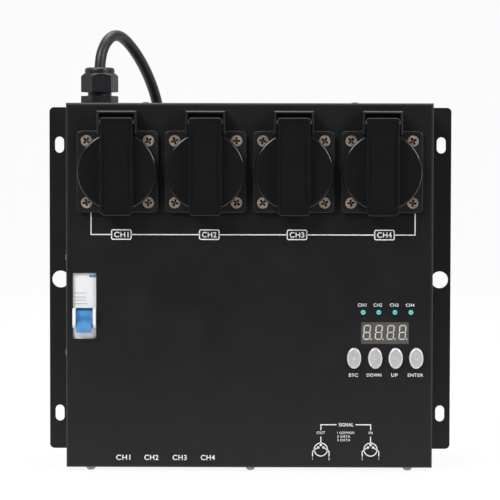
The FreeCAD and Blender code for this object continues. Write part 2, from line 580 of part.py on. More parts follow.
def tact_switch(x):
    """One switch under a button, hollow where the button's stem goes in."""
    body = box(x - 3, x + 3, BOARD_Y - 3.6, BOARD_Y, BUTTON_Z - 3, BUTTON_Z + 3)
    return body.cut(rod(2.0, (x, BOARD_Y - 4, BUTTON_Z), (x, BOARD_Y - 1.6, BUTTON_Z)))


# Power side

TRIAC_HOLE_Z = 33.0


def heatsink_back_y():
    """The rear face of the heat sink's upright leg."""
    return INNER_FRONT_Y + 14.2


def heatsink():
    """The aluminium angle at the bottom front that cools the triacs."""
    back = heatsink_back_y()
    foot_top = INNER_BOTTOM_Z + HEATSINK_T
    foot = box(-HEATSINK_X, HEATSINK_X, INNER_FRONT_Y + 0.8, back, INNER_BOTTOM_Z, foot_top)
    leg = box(-HEATSINK_X, HEATSINK_X, back - HEATSINK_T, back, INNER_BOTTOM_Z, HEATSINK_TOP)
    holes = [rod(1.6, (x, back - HEATSINK_T - 1, TRIAC_HOLE_Z), (x, back + 1, TRIAC_HOLE_Z)) for x in TRIAC_X]
    return foot.fuse(leg).cut(case_holes() + holes)


def triac(x):
    """One triac: metal tab, moulded body and three legs."""
    y = heatsink_back_y()
    tab = box(x - 5, x + 5, y, y + 1.3, 20, 36)
    tab = tab.cut(rod(1.6, (x, y - 1, TRIAC_HOLE_Z), (x, y + 2, TRIAC_HOLE_Z)))
    body = box(x - 5, x + 5, y, y + 4.4, 20, 29)
    legs = [box(x + dx - 0.4, x + dx + 0.4, y + 2.3, y + 2.8, 9, 20.5) for dx in (-2.54, 0, 2.54)]
    return tab.fuse([body] + legs)


def power_board():
    """The power board in front of the back plate."""
    x0, x1, z0, z1 = POWER_BOARD
    board = box(x0, x1, POWER_BOARD_Y, POWER_BOARD_Y + BOARD_T, z0, z1)
    holes = [rod(1.6, (x, POWER_BOARD_Y - 1, z), (x, POWER_BOARD_Y + 3, z)) for x, z in power_spacer_points()]
    return board.cut(holes)


def choke(x):
    """One channel's ring choke, lying on the power board."""
    return Part.makeTorus(12.0, 5.0, Vec(x, POWER_BOARD_Y - 5.0, 125.0), Vec(0, 1, 0))


def capacitor(x):
    """One channel's suppression capacitor."""
    case = box(x - 9, x + 9, POWER_BOARD_Y - 15, POWER_BOARD_Y, 92, 100)
    return case.makeFillet(0.8, on_plane(case, POWER_BOARD_Y - 15))


def transformer():
    """The small supply transformer: laminated core and bobbin."""
    x, z, y1 = 78.0, 70.0, POWER_BOARD_Y
    core = box(x - 15, x + 15, y1 - 22, y1 - 3, z - 7, z + 7)
    bobbin = box(x - 10, x + 10, y1 - 20, y1, z - 13, z + 13)
    return core.fuse(bobbin)


def terminal_block():
    """Eight screw terminals for the outlets' wires."""
    y1 = POWER_BOARD_Y
    block = box(-72, -8, y1 - 15, y1, 54, 66)
    tools = []
    for k in range(8):
        x = -68 + 8 * k
        tools.append(rod(2.2, (x, y1 - 16, 62), (x, y1 - 9, 62)))
        tools.append(box(x - 2, x + 2, y1 - 8, y1 - 3, 53, 60))
    return block.cut(tools)


# Under the pack

def fuse_holder(x):
    """One fuse holder: flanged sleeve through the bottom, closed at its inner end."""
    flange = rod(7.7, (x, FUSE_Y, BOTTOM_Z - 1.2), (x, FUSE_Y, BOTTOM_Z))
    sleeve = rod(FUSE_HOLE_R, (x, FUSE_Y, BOTTOM_Z - 1.2), (x, FUSE_Y, 38))
    lug = box(x - 2.4, x + 2.4, FUSE_Y - 0.4, FUSE_Y + 0.4, 37, 45)
    return flange.fuse([sleeve, lug]).cut(rod(5.2, (x, FUSE_Y, 0), (x, FUSE_Y, 34)))


def fuse_cap(x):
    """One bayonet cap with a coin slot, gripping its fuse."""
    head = rod(6.4, (x, FUSE_Y, 0.2), (x, FUSE_Y, 1.0))
    skirt = rod(4.9, (x, FUSE_Y, 0.2), (x, FUSE_Y, 12))
    slot = box(x - 4.5, x + 4.5, FUSE_Y - 0.7, FUSE_Y + 0.7, 0, 1.6)
    return head.fuse(skirt).cut([slot, rod(2.65, (x, FUSE_Y, 4), (x, FUSE_Y, 13))])


def fuse(x):
    """One 5 x 20 mm fuse: glass with two end caps."""
    glass = rod(2.4, (x, FUSE_Y, 9), (x, FUSE_Y, 21))
    ends = [rod(2.6, (x, FUSE_Y, z), (x, FUSE_Y, z + 5)) for z in (5, 20)]
    return glass.fuse(ends)


def signal_screw_points(x):
    """The two screw centres of the signal socket at x."""
    return [(x - SIGNAL_SCREW_X, SIGNAL_Y - SIGNAL_SCREW_Y), (x + SIGNAL_SCREW_X, SIGNAL_Y + SIGNAL_SCREW_Y)]


SIGNAL_FLANGE_Z = BOTTOM_Z - 2.0
SIGNAL_CAVITY_R, SIGNAL_CAVITY_TOP, SIGNAL_BACK_Z = 9.5, 17.0, 27.0
SIGNAL_PIN_R = 3.9


def signal_contact_points(x):
    """The three contact centres, at the corners of a flat triangle."""
    angles = [math.radians(a) for a in (-90, 15, 165)]
    return [(x + SIGNAL_PIN_R * math.cos(a), SIGNAL_Y + SIGNAL_PIN_R * math.sin(a)) for a in angles]


def signal_shell(x):
    """A signal socket's flanged metal shell with its round cavity."""
    flange = box(x - SIGNAL_FLANGE_X / 2, x + SIGNAL_FLANGE_X / 2, SIGNAL_Y - SIGNAL_FLANGE_Y / 2,
                 SIGNAL_Y + SIGNAL_FLANGE_Y / 2, SIGNAL_FLANGE_Z, BOTTOM_Z)
    flange = rounded(flange, 2.5, (0, 0, 1))
    body = rod(SIGNAL_R, (x, SIGNAL_Y, SIGNAL_FLANGE_Z), (x, SIGNAL_Y, SIGNAL_BACK_Z))
    tools = [rod(SIGNAL_CAVITY_R, (x, SIGNAL_Y, -1), (x, SIGNAL_Y, SIGNAL_CAVITY_TOP))]
    for px, py in signal_contact_points(x):
        tools.append(rod(1.7, (px, py, SIGNAL_CAVITY_TOP - 1), (px, py, SIGNAL_BACK_Z + 1)))
    for px, py in signal_screw_points(x):
        tools.append(cone(3.1, 1.55, (px, py, SIGNAL_FLANGE_Z - 0.01), (px, py, SIGNAL_FLANGE_Z + 1.55)))
        tools.append(rod(1.6, (px, py, SIGNAL_FLANGE_Z), (px, py, BOTTOM_Z + 1)))
    return flange.fuse(body).cut(tools)


LATCH_W, LATCH_L = 6.0, 3.4


def latch_room(x, gap):
    """The pocket in the output socket's flange where the latch moves."""
    y0 = SIGNAL_Y + SIGNAL_CAVITY_R + 0.7
    return box(x - LATCH_W / 2 - gap, x + LATCH_W / 2 + gap, y0 - gap, y0 + LATCH_L + gap,
               SIGNAL_FLANGE_Z - 1, BOTTOM_Z - 0.4 + 3 * gap)


def signal_latch(x):
    """The release tab beside the output socket."""
    y0 = SIGNAL_Y + SIGNAL_CAVITY_R + 0.7
    tab = box(x - LATCH_W / 2, x + LATCH_W / 2, y0, y0 + LATCH_L, SIGNAL_FLANGE_Z, BOTTOM_Z - 1.0)
    return rounded(tab, 0.8, (0, 0, 1))


def signal_insert(x):
    """The output socket's insulating plug face with three contact holes."""
    body = rod(7.9, (x, SIGNAL_Y, SIGNAL_FLANGE_Z + 0.8), (x, SIGNAL_Y, SIGNAL_CAVITY_TOP))
    holes = [rod(1.3, (px, py, 0), (px, py, 14)) for px, py in signal_contact_points(x)]
    return body.cut(holes)


def signal_pin(point):
    """One contact pin of the input socket, through to its solder cup."""
    x, y = point
    pin = rod(1.2, (x, y, 3.4), (x, y, SIGNAL_BACK_Z + 6))
    collar = rod(1.65, (x, y, SIGNAL_CAVITY_TOP), (x, y, SIGNAL_BACK_Z + 1))
    return pin.fuse(collar)


def signal_screws():
    """Four countersunk screws, two to a signal socket."""
    screw = flat_screw(1.45, 2.9, 8.0)
    points = [p for x in (SIGNAL_OUT_X, SIGNAL_IN_X) for p in signal_screw_points(x)]
    return [stood(screw, (x, y, SIGNAL_FLANGE_Z), (0, 0, -1), 20.0 + 40.0 * k)
            for k, (x, y) in enumerate(points)]


# Gland and mains lead

def gland_body():
    """The gland's lower hexagon with the thread below it, and the neck that the dome nut screws on."""
    base = stood(hexagon(GLAND_BASE_AF, GLAND_BASE_H, 10.5), (GLAND_X, GLAND_Y, TOP_Z), (0, 0, 1))
    thread = rod(GLAND_NECK_R, (GLAND_X, GLAND_Y, TOP_Z - 11), (GLAND_X, GLAND_Y, TOP_Z + 1))
    neck = rod(GLAND_NECK_R, (GLAND_X, GLAND_Y, TOP_Z + 1), (GLAND_X, GLAND_Y, CORD_START_Z))
    bore = rod(4.2, (GLAND_X, GLAND_Y, TOP_Z - 12), (GLAND_X, GLAND_Y, TOP_Z + 8))
    return base.fuse([thread, neck]).cut(bore)


def gland_nut():
    """The dome nut: a hexagon with a rounded crown that closes round the cord."""
    z0 = TOP_Z + GLAND_BASE_H + GLAND_NECK_H
    z1 = z0 + GLAND_NUT_H
    nut = hexagon(GLAND_NUT_AF, GLAND_NUT_H, 11.0)
    trim = revolved([(0, 0), (0, 11.4), (0.6, 11.9), (GLAND_NUT_H - 1.8, 11.9),
                     (GLAND_NUT_H, 10.0), (GLAND_NUT_H, 0)])
    nut = stood(nut.common(trim), (GLAND_X, GLAND_Y, z0), (0, 0, 1))
    crown = rod(GLAND_DOME_R, (GLAND_X, GLAND_Y, z1 - 0.5), (GLAND_X, GLAND_Y, z1 + GLAND_DOME_H))
    crown = crown.makeFillet(1.8, around_top(crown, z1 + GLAND_DOME_H))
    room = rod(GLAND_NECK_R + 0.05, (GLAND_X, GLAND_Y, z0 - 1), (GLAND_X, GLAND_Y, CORD_START_Z + 1.5))
    bore = rod(CORD_D / 2 + 0.2, (GLAND_X, GLAND_Y, z0), (GLAND_X, GLAND_Y, z1 + GLAND_DOME_H + 1))
    return nut.fuse(crown).cut([room, bore])


def gland_locknut():
    """The lock nut inside the case."""
    nut = hexagon(22.0, 5.0).cut(rod(GLAND_NECK_R + 0.05, (0, 0, -1), (0, 0, 6)))
    return stood(nut, (GLAND_X, GLAND_Y, INNER_TOP_Z - 5.0), (0, 0, 1))


def arc_from(start, tangent, end):
    """The arc that leaves a point along a tangent and ends at another point."""
    chord = end - start
    along_chord = chord.dot(tangent)
    side = tangent * chord.dot(chord) - chord * along_chord
    if side.Length < 1e-9:
        return Part.LineSegment(start, end)
    direction = Vec(chord).normalize()
    across = (tangent - direction * tangent.dot(direction)).normalize()
    half_angle = math.acos(max(-1.0, min(1.0, tangent.dot(direction))))
    middle = (start + end) * 0.5 + across * (chord.Length / 2 * math.tan(half_angle / 2))
    return Part.Arc(start, middle, end)


def biarc(start, start_tangent, end, end_tangent):
    """Two arcs that leave one point and reach another along given tangents."""
    v = end - start
    t = start_tangent + end_tangent
    a = 2 * (1 - start_tangent.dot(end_tangent))
    b = 2 * v.dot(t)
    c = -v.dot(v)
    if abs(a) < 1e-9:
        d = -c / b
    else:
        d = (-b + math.sqrt(b * b - 4 * a * c)) / (2 * a)
    joint = (start + end + (start_tangent - end_tangent) * d) * 0.5
    first = arc_from(start, start_tangent, joint)
    second = arc_from(end, end_tangent * -1, joint)
    return first, second


def swept(edges, start, tangent):
    """A round tube of the cord's diameter along joined edges."""
    ring = Part.Wire([Part.Circle(start, tangent, CORD_D / 2).toShape()])
    return Part.Wire(edges).makePipeShell([ring], True, False)


def cord_run():
    """The free stretch: straight runs joined by tangent arcs."""
    points = [Vec(*p) for p in CORD_ROUTE]
    edges = []
    here = points[0]
    radii = []
    for before, corner, after in zip(points, points[1:], points[2:]):
        into, out = (corner - before), (after - corner)
        turn = into.getAngle(out)
        setback = 0.45 * min(into.Length, out.Length)
        radii.append(setback / math.tan(turn / 2))
        into.normalize()
        out.normalize()
        leave, join = corner - into * setback, corner + out * setback
        edges.append(Part.LineSegment(here, leave).toShape())
        edges.append(arc_from(leave, into, join).toShape())
        here = join
    edges.append(Part.LineSegment(here, points[-1]).toShape())
    tube = swept(edges, points[0], points[1] - points[0])
    length = sum(e.Length for e in edges)
    print("cord run radii", [round(r, 1) for r in radii])
    ratio = tube.Volume / (length * math.pi * CORD_D ** 2 / 4)
    print("cord run length", round(length, 1), "volume ratio", round(ratio, 4))
    return tube


def coil_point(turn):
    """The coil's centreline after a number of turns: spiral in below, climb, spiral out above."""
    inward = min(turn, COIL_TURNS_PER_LAYER)
    outward = max(turn - COIL_TURNS_PER_LAYER, 0.0)
    radius = COIL_R - COIL_PITCH * (inward - outward)
    angle = 2 * math.pi * turn - math.pi / 2
    climb = min(max((turn - COIL_TURNS_PER_LAYER) / 0.5 + 0.5, 0.0), 1.0)
    height = FLOOR_Z + COIL_STEP_Z * (climb - math.sin(2 * math.pi * climb) / (2 * math.pi))
    return Vec(COIL_X + radius * math.cos(angle), COIL_Y + radius * math.sin(angle), height)


def coil_tangent(turn):
    """The coil's direction after a number of turns."""
    if turn == 0:
        return Vec(1, 0, 0)
    step = 1e-4
    return (coil_point(turn + step) - coil_point(turn - step)).normalize()


def plug_axis():
    """Where the lead enters the plug, and the way the plug points: its rim rests on the surface."""
    heading, tilt = math.radians(PLUG_HEADING_DEG), math.radians(PLUG_TILT_DEG)
    axis = Vec(math.cos(tilt) * math.cos(heading), math.cos(tilt) * math.sin(heading), math.sin(tilt))
    leave = coil_point(COIL_END_TURN) + coil_tangent(COIL_END_TURN) * PLUG_TAIL
    height = PLUG_FACE_R * math.cos(tilt) - PLUG_RIM * math.sin(tilt) + 0.15
    return Vec(leave.x, leave.y, height), axis


def cord_coil():
    """The put-away length as one unbroken tube: two layers of turns, then the tail to the plug."""
    last = COIL_END_TURN
    steps = int(round(last * 4))
    turns = [last * k / steps for k in range(steps + 1)]
    edges = []
    for a, b in zip(turns, turns[1:]):
        for arc in biarc(coil_point(a), coil_tangent(a), coil_point(b), coil_tangent(b)):
            edges.append(arc.toShape())
    entry, axis = plug_axis()
    before_plug = entry - axis * CORD_D
    for arc in biarc(coil_point(last), coil_tangent(last), before_plug, axis):
        edges.append(arc.toShape())
    edges.append(Part.LineSegment(before_plug, entry).toShape())
    tube = swept(edges, coil_point(0), coil_tangent(0))
    length = sum(e.Length for e in edges)
    ratio = tube.Volume / (length * math.pi * CORD_D ** 2 / 4)
    gap = least_gap(edges)
    print("coil length", round(length, 1), "volume ratio", round(ratio, 4), "least gap", round(gap, 2))
    return tube


def least_gap(edges):
    """The smallest free space between two stretches of the tube, over points along it."""
    points = []
    for edge in edges:
        count = max(2, int(edge.Length / 2.0))
        span = edge.LastParameter - edge.FirstParameter
        line = [edge.valueAt(edge.FirstParameter + span * k / count) for k in range(count)]
        if points and (line[0] - points[-1]).Length > (line[-1] - points[-1]).Length:
            line.reverse()
        points += line
    skip = 30
    pairs = [(points[i] - points[j]).Length for i in range(len(points)) for j in range(i + skip, len(points))]
    return min(pairs) - CORD_D


def plug_body():
    """The moulded plug: ribbed sleeve, tapering grip and round face with flats for the earth strips."""
    profile = [(0, 0), (0, 4.6), (3, 5.0), (3, 4.5), (5, 4.7), (5, 5.4), (8, 5.8), (8, 5.2),
               (10, 5.4), (10, 6.2), (13, 6.6), (13, 6.0), (15, 6.2), (15, 7.4),
               (22, 9.5), (30, 12.5), (38, 15.6), (44, 17.4),
               (PLUG_RIM, PLUG_FACE_R), (60, PLUG_FACE_R), (PLUG_LENGTH, 18.0), (PLUG_LENGTH, 0)]
    body = revolved(profile)
    for side in (-1, 1):
        z0, z1 = sorted((side * 16.6, side * 22.0))
        body = body.cut(box(z0, z1, -3.6, 3.6, PLUG_RIM, PLUG_LENGTH + 1))
    return at_plug(body)


def plug_contacts():
    """Two round contact pins and two earth strips."""
    pins = [rod(2.4, (0, y, PLUG_LENGTH), (0, y, PLUG_LENGTH + 19)) for y in (-9.5, 9.5)]
    pins = [p.makeFillet(1.2, around_top(p, PLUG_LENGTH + 19)) for p in pins]
    strips = []
    for side in (-1, 1):
        z0, z1 = sorted((side * 16.6, side * 17.6))
        strips.append(box(z0, z1, -3.0, 3.0, PLUG_RIM, PLUG_LENGTH))
    return [at_plug(p) for p in pins + strips]


def at_plug(shape):
    """A shape made along +Z from the lead's end, laid down where the plug lies."""
    entry, axis = plug_axis()
    return stood(shape, entry, axis, 90.0)


# Writing the parts

def save(node, shapes):
    """Writes one node's solid, or a group of like solids, to its STEP file."""
    group = shapes if isinstance(shapes, list) else [shapes]
    solids = [solid for shape in group for solid in shape.Solids]
    bad = [s for s in solids if not s.isValid() or s.Volume <= 0]
    if bad or not solids:
        raise ValueError("node %s has %d bad solids of %d" % (node, len(bad), len(solids)))
    result = solids[0] if len(solids) == 1 else Part.makeCompound(solids)
    result.exportStep(os.path.join("parts", node + ".step"))


def at_outlets(shape):
    """One copy of an outlet piece at each outlet."""
    return [moved(shape, x, 0, OUTLET_Z) for x in OUTLET_X]


def main():
    """Builds every piece."""
    os.makedirs("parts", exist_ok=True)
    save("hood", hood())
    save("base_plate", base_plate())
    side_screws = domed_screws(side_screw_places(), SIDE_SCREW_R, SIDE_SCREW_H)
    save("case_screws", domed_screws(bottom_screw_places(), CASE_HEAD_R, PAN_HEAD_H) + side_screws)
    save("top_screws", domed_screws(top_screw_places(), CASE_HEAD_R, TOP_HEAD_H))
    for number, (housing, lid) in enumerate(zip(at_outlets(socket_housing()), at_outlets(socket_lid())), 1):
        save("socket_housing_%d" % number, housing)
        save("socket_lid_%d" % number, lid)
    save("lid_pins", at_outlets(lid_pin()))
    save("lid_springs", at_outlets(lid_spring()))
    save("socket_inserts", at_outlets(socket_insert()))
    pin_contacts = [c for x in (-CONTACT_X, CONTACT_X) for c in at_outlets(socket_contact(x))]
    earth_clips = [c for side in (-1, 1) for c in at_outlets(earth_clip(side))]
    save("socket_contacts", pin_contacts + earth_clips)
    save("socket_screws", outlet_screws())
    save("breaker_body", breaker_body())
    save("breaker_toggle", breaker_toggle())
    save("din_rail", din_rail())
    save("breaker_bracket", breaker_bracket())
    save("control_board", control_board())
    save("board_spacers", board_spacers())
    save("small_screws", small_screws())
    save("display_module", display_module())
    save("status_leds", [status_led(x) for x in LED_X])
    for name, x in zip(BUTTON_NAMES, BUTTON_X):
        save("button_" + name, button(x))
    save("tact_switches", [tact_switch(x) for x in BUTTON_X])
    save("heatsink", heatsink())
    save("triacs", [triac(x) for x in TRIAC_X])
    save("power_board", power_board())
    save("chokes", [choke(x) for x in (-62.0, -22.0, 18.0, 58.0)])
    save("capacitors", [capacitor(x) for x in (-62.0, -22.0, 18.0, 58.0)])
    save("transformer", transformer())
    save("terminal_block", terminal_block())
    save("fuse_holders", [fuse_holder(x) for x in FUSE_X])
    for number, x in enumerate(FUSE_X, 1):
        save("fuse_cap_%d" % number, fuse_cap(x))
        save("fuse_%d" % number, fuse(x))
    save("signal_out_shell", signal_shell(SIGNAL_OUT_X).cut(latch_room(SIGNAL_OUT_X, 0.3)))
    save("signal_out_insert", signal_insert(SIGNAL_OUT_X))
    save("signal_out_latch", signal_latch(SIGNAL_OUT_X))
    save("signal_in_shell", signal_shell(SIGNAL_IN_X))
    save("signal_in_pins", [signal_pin(p) for p in signal_contact_points(SIGNAL_IN_X)])
    save("signal_screws", signal_screws())
    save("gland_body", gland_body())
    save("gland_nut", gland_nut())
    save("gland_locknut", gland_locknut())
    save("cord_run", cord_run())
    save("cord_coil", cord_coil())
    save("plug_body", plug_body())
    save("plug_contacts", plug_contacts())


main()
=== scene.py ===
"""The looks of a four-channel dimmer pack: camera, mains lead, finishes, print and stage over its CAD."""
import math

import bmesh
import bpy
from mathutils import Matrix, Vector


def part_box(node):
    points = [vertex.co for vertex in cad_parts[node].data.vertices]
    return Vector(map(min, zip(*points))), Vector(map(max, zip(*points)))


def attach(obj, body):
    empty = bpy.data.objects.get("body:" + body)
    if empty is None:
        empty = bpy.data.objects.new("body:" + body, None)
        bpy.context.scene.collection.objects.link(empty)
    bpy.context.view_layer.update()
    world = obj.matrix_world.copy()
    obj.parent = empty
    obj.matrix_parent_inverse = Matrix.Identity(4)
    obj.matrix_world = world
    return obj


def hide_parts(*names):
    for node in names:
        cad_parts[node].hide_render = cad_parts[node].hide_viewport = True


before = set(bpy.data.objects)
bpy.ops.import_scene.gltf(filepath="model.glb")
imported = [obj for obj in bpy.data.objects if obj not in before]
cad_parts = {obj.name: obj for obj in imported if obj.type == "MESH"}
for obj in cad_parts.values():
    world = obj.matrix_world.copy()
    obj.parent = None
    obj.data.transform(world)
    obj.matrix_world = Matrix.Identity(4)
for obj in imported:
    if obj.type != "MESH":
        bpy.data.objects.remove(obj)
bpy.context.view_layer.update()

bl_info = {
    "name": "Dimmer Pack",
    "version": (1, 0, 0),
    "blender": (4, 5, 0),
    "location": "View3D > Sidebar > Dimmer Pack",
    "description": "Camera, mains lead, finishes, print and stage for a four-channel dimmer pack",
    "category": "Object",
}

MM = 0.001


def plane_of(node, axis, side):
    """Where a CAD piece ends along an axis: side 0 for its low end, 1 for its high end."""
    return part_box(node)[side][axis]


def centre_of(node):
    """The middle of a CAD piece."""
    low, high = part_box(node)
    return (low + high) / 2


FRONT_Y = plane_of("hood", 1, 0)
PRINT_HEIGHT = 0.03 * MM
OUTLETS = ("1", "2", "3", "4")
BUTTONS = ("esc", "down", "up", "enter")


# Settings that a user would change

def linear(hex_colour):
    """A colour written as sRGB hex, as the linear values that shaders take."""
    parts = [int(hex_colour[k:k + 2], 16) / 255 for k in (1, 3, 5)]
    return tuple(c / 12.92 if c <= 0.04045 else ((c + 0.055) / 1.055) ** 2.4 for c in parts)


def colour(name, description, hex_colour):
    """A colour setting."""
    return bpy.props.FloatVectorProperty(
        name=name, description=description, subtype="COLOR", size=3, min=0.0, max=1.0,
        default=linear(hex_colour))


def size(name, description, millimetres):
    """A size setting, given in millimetres and kept in metres."""
    return bpy.props.FloatProperty(
        name=name, description=description, subtype="DISTANCE", unit="LENGTH", default=millimetres * MM)


class DimmerPackColours(bpy.types.PropertyGroup):
    """The base colour of each finish."""

    powder_coated_steel: colour("Powder coat", "Case and back plate", "#0E0F11")
    zinc_plated_steel: colour("Zinc-plated steel", "Rail, bracket and other plain steel", "#B4B8BC")
    shade_painted_nickel_screw: colour("Outlet screws", "Countersunk screw heads of the outlets", "#D2BFAE")
    nickel_plated_screw: colour("Nickel-plated screws", "Screw heads below and at the side", "#A3938A")
    blackened_steel: colour("Blackened screws", "Screw heads on top of the case", "#1E1F21")
    turned_brass: colour("Nickel-plated brass", "Socket contacts and plug pins", "#C9BFA6")
    moulded_polyamide: colour("Outlet mouldings", "Outlet flanges and inserts", "#111215")
    glossy_abs: colour("Outlet lids", "Polished black lids", "#131415")
    breaker_polyamide: colour("Breaker case", "White moulded case", "#E6E7E8")
    toggle_polyamide: colour("Breaker lever", "Blue lever and drum", "#4A8CC8")
    painted_abs: colour("Buttons", "Silver-painted oval buttons", "#CBC8CB")
    led_epoxy: colour("Status lights", "Tinted epoxy lenses", "#6FC6C3")
    led_chip: colour("Light chips", "Dark chip seen through a lens", "#35706F")
    display_epoxy: colour("Display face", "Grey face of the digit block", "#524D4A")
    diffused_segment: colour("Display segments", "Unlit milky segments", "#D2CCC6")
    screen_ink: colour("Screen print", "White ink on the case", "#E9EAEC")
    # This grey also colours the disc at each button's centre: painted shade for the small dimple there.
    label_ink: colour("Grey marks", "Pad print on the breaker and the buttons' gate marks", "#8E9094")
    label_band: colour("Breaker band", "Blue band on the breaker", "#3F8FC4")
    solder_mask: colour("Circuit boards", "Green glass-fibre laminate", "#1F5A36")
    extruded_aluminium: colour("Heat sink", "Bare extruded angle", "#C3C6C9")
    wound_ferrite: colour("Chokes", "Enamelled copper on ferrite rings", "#A4562B")
    epoxy_case: colour("Semiconductors", "Black epoxy of triacs and switches", "#202123")
    film_capacitor: colour("Capacitors", "Yellow polyester boxes", "#D8B23A")
    phenolic: colour("Fuse caps", "Black pressed caps and holders", "#1A1A1B")
    fuse_glass: colour("Fuse glass", "Clear tube", "#E8EEF0")
    die_cast_zinc: colour("Signal sockets", "Satin nickel on die-cast zinc", "#A9ABAE")
    gland_polyamide: colour("Cable gland", "Black gland, slightly blue", "#13161B")
    cord_pvc: colour("Mains lead", "Black flexible sheath", "#161619")
    plug_pvc: colour("Plug", "Black moulded plug", "#1A1A1C")


class DimmerPackSizes(bpy.types.PropertyGroup):
    """Sizes of the print and of the mains lead."""

    line: size("Print line", "Width of a printed line", 0.65)
    channel_letters: size("Channel letters", "Height of the outlets' letters", 3.5)
    fuse_letters: size("Fuse letters", "Height of the letters along the bottom", 3.3)
    panel_letters: size("Panel letters", "Height of the letters at the lights and buttons", 2.05)
    channel_box_width: size("Channel box width", "Width of the frame round an outlet's letters", 12.0)
    channel_box_height: size("Channel box height", "Height of the frame round an outlet's letters", 5.8)
    digit: size("Digit height", "Height of a display digit", 9.1)
    segment: size("Segment width", "Width of a display segment", 0.7)
    cord_diameter: size("Lead diameter", "Outside diameter of the sheath", 7.0)
    cord_length: size("Lead length", "Free length from gland to plug", 1463.0)


class DimmerPackStage(bpy.types.PropertyGroup):
    """Strength of the lights and the shade of the floor."""

    key: bpy.props.FloatProperty(
        name="Key light", description="Soft box above left", subtype="POWER", unit="POWER", default=44.0)
    fill: bpy.props.FloatProperty(
        name="Fill light", description="Soft box above right", subtype="POWER", unit="POWER", default=22.0)
    top: bpy.props.FloatProperty(
        name="Top light", description="Soft box overhead", subtype="POWER", unit="POWER", default=22.0)
    room: bpy.props.FloatProperty(
        name="Room light", description="Light from above, both sides and behind", min=0.0, default=0.45)
    front: bpy.props.FloatProperty(
        name="Front light", description="Dimmer light of the room before the pack", min=0.0, default=0.1)
    floor: colour("Floor", "White paper of the floor and backdrop", "#FAFAFA")


# Materials

def add_node(tree, kind, inputs=None, stops=None, **settings):
    """Adds a shader node with its settings, its input values or links, and a colour ramp's stops."""
    node = tree.nodes.new(kind)
    for name, value in settings.items():
        setattr(node, name, value)
    for key, value in (inputs or {}).items():
        socket = node.inputs[key]
        if isinstance(value, bpy.types.NodeSocket):
            tree.links.new(value, socket)
        else:
            socket.default_value = value
    if stops:
        for element, (position, rgb) in zip(node.color_ramp.elements, stops):
            element.position = position
            element.color = (*rgb, 1.0)
    return node
